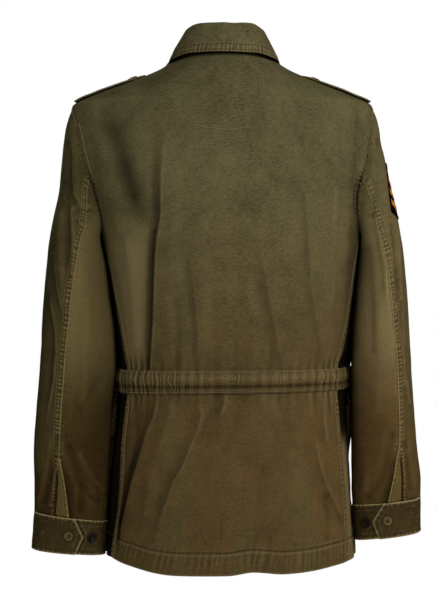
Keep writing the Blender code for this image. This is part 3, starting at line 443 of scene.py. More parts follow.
GATHER_DEPTH = 0.0009
GATHERS_ABOVE = 0.020
GATHERS_BELOW = 0.024


# ---- Curves and surfaces --------------------------------------------------------------------


def stops(start, *stretches):
    """Places from start through each stretch's end, in steps of about the size it gives."""
    places = [np.array([start])]
    for end, step in stretches:
        count = max(round(abs(end - places[-1][-1]) / step), 1)
        places.append(np.linspace(places[-1][-1], end, count + 1)[1:])
    return np.concatenate(places)


BODY_LEVELS = stops(
    UNDERARM_Z,
    (-0.432, 0.0034),
    (CASING_TOP, 0.0021),
    (CASING_BOTTOM, 0.006),
    (-0.518, 0.0021),
    (-0.706, 0.0034),
    (-0.722, 0.0016),
    (HEM_Z + 0.003, 0.0024),
    (HEM_Z, 0.001),
)[1:]
SLEEVE_DOWNS = stops(0.0, (0.06, 0.003), (0.80, 0.0052), (1.0, 0.0038))
SHOULDER_STEPS = 40
ARMHOLE_STEPS = 72
NECKLINE_STEPS = 50
BESIDE_SEAM = stops(0.0, (0.010, 0.0010), (0.016, 0.002))  # places in from a seam


def through(at, knots, values):
    """A smooth curve through the values at the knots that never overshoots them."""
    order = np.argsort(knots)
    knots = np.asarray(knots, float)[order]
    values = np.asarray(values, float)[order]
    step = np.diff(knots)
    slope = np.diff(values) / step
    product = slope[:-1] * slope[1:]
    total = np.where(product > 0, slope[:-1] + slope[1:], 1)
    inner = np.where(product > 0, 2 * product / total, 0)
    lean = np.concatenate([slope[:1], inner, slope[-1:]])
    at = np.clip(at, knots[0], knots[-1])
    low = np.clip(np.searchsorted(knots, at, side="right") - 1, 0, len(step) - 1)
    share = (at - knots[low]) / step[low]
    ease = share**2 * (3 - 2 * share)
    leaving = lean[low] * step[low] * share * (1 - share) ** 2
    arriving = lean[low + 1] * step[low] * share**2 * (1 - share)
    return values[low] * (1 - ease) + values[low + 1] * ease + leaving - arriving


def read(table, columns, name, at):
    rows = np.array(table)
    return through(at, rows[:, 0], rows[:, columns.index(name)])


def torso(name, height):
    return read(TORSO, TORSO_COLUMNS, name, height)


def unit(vectors):
    return vectors / np.maximum(np.linalg.norm(vectors, axis=-1, keepdims=True), 1e-12)


def step_up(value, low, high):
    """0 below low, 1 above high and a smooth rise between."""
    share = np.clip((value - low) / (high - low), 0, 1)
    return share**2 * (3 - 2 * share)


def span(value, rise, fall):
    """0 before a rise between two values, 1 after it, and 0 again past a fall."""
    return step_up(value, *rise) * (1 - step_up(value, *fall))


def hump(value, middle, half_width):
    return np.exp(-(((value - middle) / half_width) ** 2))


def facing(surface, first, second):
    small = 1e-4
    along_first = surface(first + small, second) - surface(first - small, second)
    along_second = surface(first, second + small) - surface(first, second - small)
    return unit(np.cross(along_second, along_first))


def beside_line(across, height, line):
    """Each point's distance from a line, its lean to the left (1) or the right (-1), and how far
    down the line it lies, from 0 to 1."""
    nearest = np.full(np.shape(across), np.inf)
    lean, down = np.zeros(nearest.shape), np.zeros(nearest.shape)
    passed = 0
    for start, end in zip(line[:-1], line[1:]):
        run = np.subtract(end, start)
        long = np.hypot(*run)
        share = ((across - start[0]) * run[0] + (height - start[1]) * run[1]) / long**2
        share = np.clip(share, 0, 1)
        aside = across - start[0] - share * run[0]
        above = height - start[1] - share * run[1]
        away = np.hypot(aside, above)
        leaning = (run[0] * above - run[1] * aside) / long / np.maximum(away, 1e-6)
        closer = away < nearest
        lean = np.where(closer, leaning, lean)
        down = np.where(closer, passed + share * long, down)
        nearest = np.minimum(nearest, away)
        passed += long
    return nearest, lean, down / passed


def crease(left_width, right_width, away, lean, down):
    """A soft crease's cross section, 1 along its line, with banks of their own widths."""
    width = (left_width + right_width) / 2 + (left_width - right_width) / 2 * lean
    return np.exp(-((away / width) ** 2))


def pleat(bank, trough, crest, away, lean, down):
    """A sharp fold's cross section: a steep bank from a trough up to the crest on its line."""
    left = away * lean
    share = np.clip(left / bank, 0, 1)
    steep = (1 - share) ** PLEAT_BEND - PLEAT_TROUGH
    beyond = np.exp(-((np.maximum(left - bank, 0) / trough) ** 2))
    over = (1 - PLEAT_TROUGH) * np.exp(-((np.minimum(left, 0) / crest) ** 2))
    shape = np.where(left < 0, over, np.where(left < bank, steep, -PLEAT_TROUGH * beyond))
    return shape * step_up(down, 0, PLEAT_FADE) * step_up(1 - down, 0, PLEAT_FADE)


def creased(points, face, shape, rows, middle_y, place):
    """How far the folds of one face raise the cloth at each point."""
    on_face = step_up(face * (points[..., 1] - middle_y), 0, FOLD_TURN)
    rise = np.zeros(points.shape[:-1])
    for depth, *row in rows:
        widths = [value / 1000 for value in row if not isinstance(value, tuple)]
        line = [place(value) for value in row if isinstance(value, tuple)]
        found = beside_line(points[..., 0], points[..., 2], line)
        rise += depth / 1000 * shape(*widths, *found)
    return rise * on_face


def dusk(points, rows, place):
    """The painted shade on the steep banks of sharp folds, deepest under their crests."""
    found = np.zeros(points.shape[:-1])
    for height, bank, _, _, *line in rows:
        away, lean, down = beside_line(points[..., 0], points[..., 2], [place(at) for at in line])
        left = away * lean
        share = np.clip(left / (bank / 1000 * DUSK_BANK), 0, 1)
        inside = step_up(left, -0.0012, 0.0008) * (1 - share) ** DUSK_FADES
        fade = step_up(down, 0.08, 0.5) * step_up(1 - down, 0, 0.12)
        found += height / DUSK_FULL_AT * inside * fade
    return np.minimum(found, DUSK_MOST)


def rumple(points, size, depth, tall=1.0):
    """Soft unevenness of about the given size, drawn out upright where tall is over 1."""
    flat = points.reshape(-1, 3) / (size, size, size * tall)
    found = [noise.noise(Vector(point)) for point in flat.tolist()]
    return depth * np.array(found).reshape(points.shape[:-1])


def unevenness(points):
    """The soft rumples of washed cloth, large and small."""
    large = rumple(points, 0.045, 0.0011, 1.7)
    return large + rumple(points + 7.0, 0.017, 0.00045, 1.4)


def in_millimetres(point):
    return point[0] / 1000, point[1] / 1000


def half_width(side, height):
    return np.where(side > 0, torso("left", height), torso("right", height))


def fuller(turn, height):
    """How much wider than the back the body is there."""
    left = read(FULLER, FULLER_COLUMNS, "left", height)
    right = read(FULLER, FULLER_COLUMNS, "right", height)
    return np.where(turn > 0, left, right) * step_up(np.abs(turn), *FULLER_TURNS)


def body(turn, height):
    turn, height = np.broadcast_arrays(turn, height)
    turn = (turn + 1) % 2 - 1
    angle = np.pi * np.abs(turn)
    bend = 2 / torso("square", height)
    half = half_width(turn, height) + fuller(turn, height)
    reach = np.where(angle < np.pi / 2, torso("back", height), torso("front", height))
    across = np.sign(turn) * half * np.abs(np.sin(angle)) ** bend
    along = np.sign(np.cos(angle)) * reach * np.abs(np.cos(angle)) ** bend
    return np.stack([across, SHOULDER_Y + along, height], axis=-1)


def gathers(turn, height):
    """The short gathers that the drawn cord makes above, under and below the casing."""
    turn = (turn + 1) % 2 - 1
    tight = 0.35 + 0.65 * step_up(np.abs(turn), 0.16, 0.40)
    above = np.exp(-((np.maximum(height - CASING_TOP, 0) / GATHERS_ABOVE) ** 1.5))
    below = np.exp(-((np.maximum(CASING_BOTTOM - height, 0) / GATHERS_BELOW) ** 1.5))
    wave = 0
    for size, count, slip, slips, start, lean in GATHERS:
        slipped = slip * np.sin(slips * turn + start)
        wave = wave + size * np.sin(2 * np.pi * count * turn + slipped + lean * height)
    return GATHER_DEPTH * tight * above * below * wave


def body_cloth(turn, height, lift=0.0):
    """Points on the creased cloth of the body, and the way that it faces."""
    points = body(turn, height)
    out = facing(body, turn, height)
    rise = creased(points, 1, crease, BACK_CREASES, SHOULDER_Y, on_the_back)
    rise += creased(points, 1, pleat, BACK_PLEATS, SHOULDER_Y, on_the_back)
    rise += creased(points, -1, crease, FRONT_CREASES, SHOULDER_Y, in_millimetres)
    rise += gathers(turn, height) + unevenness(points) + lift
    return points + out * rise[..., None], out


def turn_at_y(side, y, height):
    reach = np.where(y > SHOULDER_Y, torso("back", height), torso("front", height))
    level = np.clip(np.abs(y - SHOULDER_Y) / reach, 0, 1) ** (torso("square", height) / 2)
    angle = np.arccos(level)
    return side * np.where(y > SHOULDER_Y, angle, np.pi - angle) / np.pi


def front_turn_at_x(x, height):
    half = half_width(x, height) + fuller(np.sign(x), height)
    level = np.clip(np.abs(x) / half, 0, 1) ** (torso("square", height) / 2)
    return 1 - np.sign(x) * np.arcsin(level) / np.pi


def hem(turn):
    return read(HEM, HEM_COLUMNS, "height", turn)


def neckline(angle):
    drop = np.minimum(np.cos(angle), 0)
    height = NECK_DROP * drop + NECK_RISE * (np.cos(angle) - drop) ** 2
    front = front_turn_at_x(NECK_HALF * np.sin(angle), height)
    return np.where(angle > np.pi / 2, front, angle / np.pi), height


def armhole(side, angle):
    share = (1 - np.cos(angle)) / 2
    height = TIP_Z + (UNDERARM_Z - TIP_Z) * share
    y = SHOULDER_Y + (UNDERARM_Y - SHOULDER_Y) * share + ARMHOLE_REACH * np.sin(angle)
    return turn_at_y(side, y, height), height


def with_hem(turn, height):
    share = np.clip((CASING_BOTTOM - height) / (CASING_BOTTOM - HEM_Z), 0, 1)
    return height + (hem(turn) - HEM_Z) * share


def with_neck(turn, height):
    """Heights near the back neckline, raised towards the centre of the back."""
    share = np.clip(1 + height / NECK_RISE_FADES, 0, 1)
    return height + NECK_RISE * np.cos(np.pi * turn) ** 2 * share


def side_seam(side):
    """Turn and height down the side seam, from the underarm to the hem."""
    turn = np.full(len(BODY_LEVELS), side * 0.45)
    for _ in range(4):
        height = with_hem(turn, BODY_LEVELS)
        y = read(SIDE_SEAM, SIDE_SEAM_COLUMNS, "y", height)
        turn = turn_at_y(side, y, height)
    return turn, height


def sleeve_rows(side):
    tip = body(*armhole(side, 0.0))
    underarm = body(*armhole(side, np.pi))
    rows = np.array([(*tip, *underarm, ARMHOLE_REACH), *SLEEVE[side]])
    middle = (rows[:, 0:3] + rows[:, 3:6]) / 2
    run = np.cumsum(np.linalg.norm(np.diff(middle, axis=0), axis=1))
    return np.concatenate([[0], run / run[-1]]), rows


def oval(row_of, angle):
    sizes = [row_of(column) for column in range(7)]
    outer = np.stack(sizes[0:3], axis=-1)
    inner = np.stack(sizes[3:6], axis=-1)
    points = (outer + inner) / 2 + (outer - inner) / 2 * np.cos(angle)[..., None]
    points[..., 1] += sizes[6] * np.sin(angle)
    return points


def beside_body(side, points, down):
    """Flatten a sleeve's inner side where it would press into the body."""
    height = points[..., 2]
    wall_of_body = body(turn_at_y(side, points[..., 1], height), height)
    middle = (CASING_TOP + CASING_BOTTOM) / 2
    away = (height - middle) / CASING_ROOM_HALF_HEIGHT
    room = SIDE_ROOM + CASING_ROOM * np.exp(-(away**4))
    least = side * wall_of_body[..., 0] + room
    across = points[..., 0] * side
    apart = np.hypot(across - least, SOFTNESS)
    pressed = (across + least + apart - SOFTNESS) / 2
    share = np.clip(down / PRESSED_FROM - 1, 0, 1)
    points[..., 0] = side * (across + (np.maximum(across, pressed) - across) * share)
    return points


def sleeve(side, angle, down):
    places, rows = sleeve_rows(side)
    angle, down = np.broadcast_arrays(angle, np.clip(down, 0, 1))
    points = oval(lambda column: through(down, places, rows[:, column]), angle)
    loop = body(*armhole(side, angle))[..., 0]
    flat = (rows[0, 0] + rows[0, 3]) / 2 + (rows[0, 0] - rows[0, 3]) / 2 * np.cos(angle)
    fade = np.clip(1 - down / SETTLING, 0, 1) ** 2
    points[..., 0] += (loop - flat) * fade
    return beside_body(side, points, down)


def below_armhole(side, angle, down):
    """Points on the creased cloth of a sleeve, away from its armhole, and the way that it faces."""
    points = sleeve(side, angle, down)
    out = side * facing(partial(sleeve, side), angle, down)
    middle_y = points[..., 1] - MIDDLE_REACH * np.sin(angle)
    rise = 0
    for shape, rows in ((crease, SLEEVE_CREASES[side]), (pleat, SLEEVE_PLEATS[side])):
        rise = rise + creased(points, 1, shape, rows, middle_y, on_a_sleeve)
    rise += creased(points, -1, crease, SLEEVE_FRONT_CREASES[side], middle_y, in_millimetres)
    rise += unevenness(points)
    return points + out * (rise * step_up(down, 0.0, 0.06))[..., None], out


def armhole_ring(side, angle):
    """The sleeve's edge, just inside the armhole's, and how its wall stands there."""
    loop, out = body_cloth(*armhole(side, angle))
    ahead = body(*armhole(side, angle + 1e-3)) - body(*armhole(side, angle - 1e-3))
    whole = body(*armhole(side, np.linspace(0, 2 * np.pi, 60)))
    centre = (whole.min(axis=0) + whole.max(axis=0)) / 2
    inwards = unit(np.cross(ahead, out))
    inwards *= np.sign(np.sum(inwards * (centre - loop), axis=-1))[..., None]
    loop = loop + inwards * ARMHOLE_GAP
    later, sleeve_out = below_armhole(side, angle, NEAR_ARMHOLE + 0 * angle)
    leaving = np.sum(unit(later - loop) * out, axis=-1)
    share = step_up(-leaving, 0, DROPPING_AWAY)[..., None]
    return loop, unit(out * share + sleeve_out * (1 - share))


def sleeve_cloth(side, angle, down, lift=0.0):
    """Points on a sleeve's cloth, which starts at the armhole's own edge, and its facing."""
    angle, down = (np.array(found) for found in np.broadcast_arrays(angle, down))
    points, out = below_armhole(side, angle, down)
    near = down < NEAR_ARMHOLE
    if near.any():
        fade = ((1 - down[near] / NEAR_ARMHOLE) ** 2)[:, None]
        ring, stand = armhole_ring(side, angle[near])
        points[near] += (ring - sleeve(side, angle[near], 0.0)) * fade
        out[near] = unit(out[near] * (1 - fade) + stand * fade)
    return points + out * (lift + 0 * down)[..., None], out


def cuff_cloth(side, angle, down, lift):
    ends = np.array([sleeve_rows(side)[1][-1], CUFF_END[side]])

    def surface(angle, down):
        angle, down = np.broadcast_arrays(angle, down)
        return oval(lambda column: ends[0, column] * (1 - down) + ends[1, column] * down, angle)

    out = side * facing(surface, angle, down)
    return surface(angle, down) + out * np.asarray(lift)[..., None], out


def shoulder_place(side, x, y):
    """Turn and height of the body's upper surface at a place seen from above."""
    low = np.full(np.shape(x), -0.20)
    high = np.full(np.shape(x), 0.010)
    for _ in range(40):
        height = (low + high) / 2
        half = torso("left" if side > 0 else "right", height)
        reach = np.where(y > SHOULDER_Y, torso("back", height), torso("front", height))
        power = torso("square", height)
        outside = (np.abs(x) / half) ** power + (np.abs(y - SHOULDER_Y) / reach) ** power > 1
        high = np.where(outside, height, high)
        low = np.where(outside, low, height)
    return turn_at_y(side, y, height), height


# ---- Finishes -------------------------------------------------------------------------------


class Value:
    """A socket that takes part in sums: an expression on it adds the nodes that work it out."""

    def __init__(self, finish, socket):
        self.finish = finish
        self.socket = socket

    def sum(self, operation, first, second=None):
        values = {0: first} if second is None else {0: first, 1: second}
        return self.finish.add("ShaderNodeMath", {"operation": operation}, values)

    def __add__(self, other):
        return self.sum("ADD", self, other)

    def __radd__(self, other):
        return self.sum("ADD", other, self)

    def __sub__(self, other):
        return self.sum("SUBTRACT", self, other)

    def __rsub__(self, other):
        return self.sum("SUBTRACT", other, self)

    def __mul__(self, other):
        return self.sum("MULTIPLY", self, other)

    def __rmul__(self, other):
        return self.sum("MULTIPLY", other, self)

    def sine(self):
        return self.sum("SINE", self)

    def held(self):
        """Kept between 0 and 1."""
        return self.finish.add("ShaderNodeClamp", {}, {"Value": self, "Min": 0.0, "Max": 1.0})

    def between(self, low, high):
        """Smoothly from 0 at low to 1 at high."""
        smooth = {"interpolation_type": "SMOOTHSTEP"}
        values = {"Value": self, "From Min": low, "From Max": high}
        return self.finish.add("ShaderNodeMapRange", smooth, values)


class Finish:
    """A material while its nodes are being put together."""

    def __init__(self, name, roughness, **constants):
        self.material = bpy.data.materials.new(name)
        self.material.use_nodes = True
        self.tree = self.material.node_tree
        self.shader = self.tree.nodes["Principled BSDF"]
        self.shader.inputs["Roughness"].default_value = roughness
        for socket, value in constants.items():
            self.shader.inputs[socket.replace("_", " ")].default_value = value

    def add(self, kind, settings, values, output=0):
        node = self.tree.nodes.new(kind)
        for setting, value in settings.items():
            setattr(node, setting, value)
        for socket, value in values.items():
            self.feed(node.inputs[socket], value)
        return Value(self, node.outputs[output])

    def feed(self, socket, value):
        if isinstance(value, Value):
            self.tree.links.new(value.socket, socket)
        else:
            socket.default_value = value

    def mix(self, factor, first, second):
        """A colour between two."""
        values = {"Factor": factor, 6: first, 7: second}
        return self.add("ShaderNodeMix", {"data_type": "RGBA"}, values, 2)

    def layout(self):
        """Across and along the cut cloth, in metres."""
        return self.add("ShaderNodeUVMap", {"uv_map": "cut"}, {})

    def place(self):
        return self.add("ShaderNodeTexCoord", {}, {}, "Object")

    def attribute(self, name):
        return self.add("ShaderNodeAttribute", {"attribute_name": name}, {}, "Fac")

    def part(self, vector, axis):
        return self.add("ShaderNodeSeparateXYZ", {}, {"Vector": vector}, axis)

    def stretched(self, vector, scale):
        values = {0: vector, 1: scale}
        return self.add("ShaderNodeVectorMath", {"operation": "MULTIPLY"}, values)

    def cloudy(self, vector, scale, detail=2.0, rough=0.5):
        values = {"Vector": vector, "Scale": scale, "Detail": detail, "Roughness": rough}
        return self.add("ShaderNodeTexNoise", {}, values)

    def colour(self, value):
        self.feed(self.shader.inputs["Base Color"], value)

    def bump(self, height, distance, strength=1.0):
        values = {"Height": height, "Distance": distance, "Strength": strength}
        found = self.add("ShaderNodeBump", {}, values)
        self.feed(self.shader.inputs["Normal"], found)


def rgb(red, green, blue):
    """A colour given as it is seen on a screen, 0 to 255."""
    return (*(((value / 255 + 0.055) / 1.055) ** 2.4 for value in (red, green, blue)), 1)


SHADOW = rgb(17, 14, 7)
GREEN_STREAK = rgb(82, 83, 52)
RIB_PITCH = 0.0011
THREAD_PITCH = 0.00085


def sateen(name, deep, usual, low_down, faded):
    """Washed cotton sateen: darker in random patches and browner low down, paler where it is worn
    and where highlights are painted, and darker where shade is painted.
    """
    finish = Finish(name, 0.9, Specular_IOR_Level=0.0)
    place = finish.place()
    cut = finish.layout()
    clouds = finish.cloudy(place, 7.0, 3.0, 0.55)
    patches = finish.cloudy(place, 34.0, 3.0, 0.6)
    slubs = finish.cloudy(finish.stretched(cut, (130.0, 470.0, 1.0)), 1.0, 2.0, 0.6)
    streaks = finish.cloudy(finish.stretched(place, (22.0, 22.0, 1.6)), 1.0, 2.0)
    flecks = finish.cloudy(finish.stretched(cut, (360.0, 420.0, 1.0)), 1.0, 2.0, 0.6)
    height = finish.part(place, "Z")
    cloth = finish.mix(height.between(-0.06, -0.60), usual, low_down)
    cloth = finish.mix(streaks.between(0.48, 0.70) * 0.40, cloth, GREEN_STREAK)
    uneven = clouds * 0.50 + patches * 0.45 + slubs * 0.80 + flecks * 0.70 - 0.73
    cloth = finish.mix(uneven.between(-0.10, 0.90), deep, cloth)
    # the paler mix stands for real wear and for painted highlights; the shade attribute is painted
    # shade that darkens the cloth towards near black
    wear_and_highlight = finish.attribute("wear_and_highlight")
    spotty = (wear_and_highlight * (0.55 + 0.9 * flecks)).held()
    cloth = finish.mix(spotty * 0.70, cloth, faded)
    cloth = finish.mix(finish.attribute("shade").held(), cloth, SHADOW)
    finish.colour(cloth)
    across, along = finish.part(cut, "X"), finish.part(cut, "Y")
    rib = ((across + along * 0.42) * (2 * math.pi / RIB_PITCH)).sine()
    thread = ((across * 0.35 - along) * (2 * math.pi / THREAD_PITCH)).sine()
    weave = rib * 0.22 + thread * 0.12 + slubs * 0.55 + flecks * 0.5 + patches * 0.9
    finish.bump(weave, 0.00022, 0.8)
    return finish.material


def thread_finish(name, light, dark):
    finish = Finish(name, 0.85, Specular_IOR_Level=0.1)
    finish.colour(finish.mix(finish.cloudy(finish.place(), 420.0), light, dark))
    return finish.material


def button_finish():
    finish = Finish("brown button", 0.45, Specular_IOR_Level=0.14)
    place = finish.place()
    swirl = finish.cloudy(finish.stretched(place, (60.0, 60.0, 160.0)), 3.0, 4.0, 0.6)
    finish.colour(finish.mix(swirl.between(0.3, 0.75), rgb(7, 4, 3), rgb(24, 13, 8)))
    finish.bump(finish.cloudy(place, 900.0), 0.00004)
    return finish.material


def satin_stitch(name, dark, light, pitch=0.0006):
    """Close parallel embroidery threads."""
    finish = Finish(name, 0.95, Specular_IOR_Level=0.0)
    cut = finish.layout()
    across, along = finish.part(cut, "X"), finish.part(cut, "Y")
    lines = ((across * 0.55 + along) * (2 * math.pi / pitch)).sine()
    tone = finish.cloudy(finish.stretched(cut, (300.0, 900.0, 1.0)), 1.0, 2.0)
    finish.colour(finish.mix((lines * 0.25 + tone).held(), dark, light))
    finish.bump(lines, 0.00012)
    return finish.material


BODY_SATEEN = sateen(
    "olive sateen", rgb(43, 39, 24), rgb(96, 90, 61), rgb(90, 71, 41), rgb(140, 126, 88)
)
# the left sleeve's tones are darker with painted shade and the right's lighter with painted light
SLEEVE_LIT_AND_SHADED_TONES = {
    1: (rgb(28, 24, 13), rgb(82, 76, 47), rgb(66, 50, 25), rgb(140, 124, 80)),
    -1: (rgb(41, 35, 20), rgb(106, 95, 64), rgb(83, 64, 34), rgb(148, 131, 90)),
}
SLEEVE_SATEEN = {
    side: sateen(f"olive sateen {WORDS[side]} sleeve", *shades)
    for side, shades in SLEEVE_LIT_AND_SHADED_TONES.items()
}
CUFF_SATEEN = sateen(
    "olive sateen cuffs", rgb(30, 25, 14), rgb(74, 66, 40), rgb(66, 54, 30), rgb(172, 154, 106)
)
FACING_SATEEN = sateen(
    "olive sateen facings", rgb(46, 39, 21), rgb(96, 84, 50), rgb(88, 71, 40), rgb(140, 124, 78)
)
OLIVE_THREAD = thread_finish("olive thread", rgb(106, 95, 58), rgb(66, 57, 32))
DARK_THREAD = thread_finish("dark olive thread", rgb(72, 60, 33), rgb(48, 39, 20))
PALE_THREAD = thread_finish("faded thread", rgb(164, 150, 108), rgb(120, 106, 70))
BUTTON_FINISH = button_finish()
BADGE_FIELD = satin_stitch("badge twill", rgb(3, 3, 6), rgb(12, 12, 17), 0.0011)
BADGE_GOLD = satin_stitch("badge gold thread", rgb(150, 84, 16), rgb(222, 142, 44))

# ---- Meshes and pieces ----------------------------------------------------------------------


def mesh_of(name, points, faces, finish=None):
    mesh = bpy.data.meshes.new(name)
    mesh.from_pydata(points.tolist(), [], faces)
    if finish:
        mesh.materials.append(finish)
        mesh.shade_smooth()
    return mesh


def placed(name, data):
    found = bpy.data.objects.new(name, data)
    bpy.context.scene.collection.objects.link(found)
    return found


def place_piece(name, mesh, nodes=()):
    piece = placed(name, mesh)
    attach(piece, "root")
    if nodes:
        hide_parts(*nodes)
    return piece


def joined(name, parts, finish):
    """One piece from several sets of points and faces."""
    points, faces, start = [], [], 0
    for part_points, part_faces in parts:
        points.append(part_points)
        faces += [[corner + start for corner in face] for face in part_faces]
        start += len(part_points)
    return place_piece(name, mesh_of(name, np.concatenate(points), faces, finish))


def skinned(rings):
    """Points and faces of the closed body that passes through a row of rings."""
    number = np.arange(rings.size // 3).reshape(rings.shape[:2])
    after = np.roll(number, -1, axis=1)
    faces = np.stack([number[:-1], after[:-1], after[1:], number[1:]], axis=-1).reshape(-1, 4)
    return rings.reshape(-1, 3), [*faces.tolist(), number[0, ::-1].tolist(), number[-1].tolist()]


def lathed(profile, sides):
    """A body turned from rows of radius and height, closed at both ends."""
    angle = 2 * np.pi * np.arange(sides) / sides
    radius, height = np.array(profile).T[..., None]
    rings = (radius * np.cos(angle), radius * np.sin(angle), height + 0 * angle)
    return skinned(np.stack(rings, axis=-1))


def tube(line, radius, sides=6):
    """A closed thread along places."""
    ahead = unit(np.gradient(line, axis=0))
    aside = unit(np.cross(ahead, np.broadcast_to([0.0, 0.0, 1.0], ahead.shape)) + 1e-9)
    up = np.cross(aside, ahead)
    angle = (2 * np.pi * np.arange(sides) / sides)[None, :, None]
    turned = np.cos(angle) * aside[:, None] + np.sin(angle) * up[:, None]
    return skinned(line[:, None] + radius * turned)


# ---- Cutting and sewing ---------------------------------------------------------------------

STITCH = 0.0034  # from one stitch to the next
THREAD_RADIUS = 0.00028
BAND_HEIGHT = 0.0012  # a felled seam's double edge stands this proud
SUNK = 0.0003  # and reaches this far into the cloth below
CREST_BEND = 14.0  # bend, in 1/m over two steps of the grid, at which a crest gets a quite pale painted highlight
HOLLOW_BEND = 10.0
LEVEL = 0.15  # share of either below which the cloth counts as flat
# how pale the painted highlight on a crest is, and how dark the painted shade in a hollow
CREST_HIGHLIGHT = 0.28
HOLLOW_SHADE = 0.30


def run_of(line):
    return np.concatenate([[0], np.cumsum(np.linalg.norm(np.diff(line, axis=0), axis=1))])


def read_along(at, run, values):
    return np.stack([np.interp(at, run, values[:, axis]) for axis in range(3)], axis=1)


def measured(points, line):
    """How far each point lies from a line through places, and how far along it that is."""
    run = run_of(line)
    at = np.arange(0, run[-1], 0.0008)
    tree = kdtree.KDTree(len(at))
    for index, place in enumerate(read_along(at, run, line).tolist()):
        tree.insert(place, index)
    tree.balance()
    found = np.array([tree.find(point)[1:] for point in points.reshape(-1, 3).tolist()])
    shape = points.shape[:-1]
    return found[:, 1].reshape(shape), at[found[:, 0].astype(int)].reshape(shape)


def border_of(grid):
    """The numbers round the border of a grid."""
    return np.concatenate([grid[0, :-1], grid[:-1, -1], grid[-1, :0:-1], grid[:0:-1, 0]])


def beside_border(grid):
    """The number just inside each one of the border."""
    return np.concatenate([grid[1, :-1], grid[:-1, -2], grid[-2, :0:-1], grid[:0:-1, 1]])


def quads(grid):
    corners = (grid[:-1, :-1], grid[:-1, 1:], grid[1:, 1:], grid[1:, :-1])
    return np.stack([corner.ravel() for corner in corners], axis=1)


def from_side(grid, side):
    """A grid turned so that each of its rows starts at that side of the cloth."""
    if side == "first":
        return grid
    if side == "last":
        return grid[:, ::-1]
    return np.swapaxes(grid if side == "top" else grid[::-1], 0, 1)


class Seam:
    """A line of sewing, and the uneven small ridges that it draws up in the cloth beside it."""

    def __init__(self, line, pitch=0.0095, seed=1.0, depth=0.0005, middle=0.0045, reach=0.0065):
        self.line = line
        self.pitch = pitch
        self.seed = seed
        self.depth = depth
        self.middle = middle
        self.reach = reach

    def hollows(self, along):
        """From 0 on the ridges to 1 in the small hollows between them, and how strong they are."""
        pitch, seed = self.pitch, self.seed
        slip = 0.6 * np.sin(2 * np.pi * along / (pitch * 5.3) + seed)
        slip += 0.4 * np.sin(2 * np.pi * along / (pitch * 2.9) + 2.1 * seed)
        strong = 0.70 + 0.30 * np.sin(2 * np.pi * along / (pitch * 7.7) + 3 * seed)
        wave = np.sin(2 * np.pi * along / pitch + 2.2 * slip)
        return ((1 - wave) / 2) ** 1.5, strong


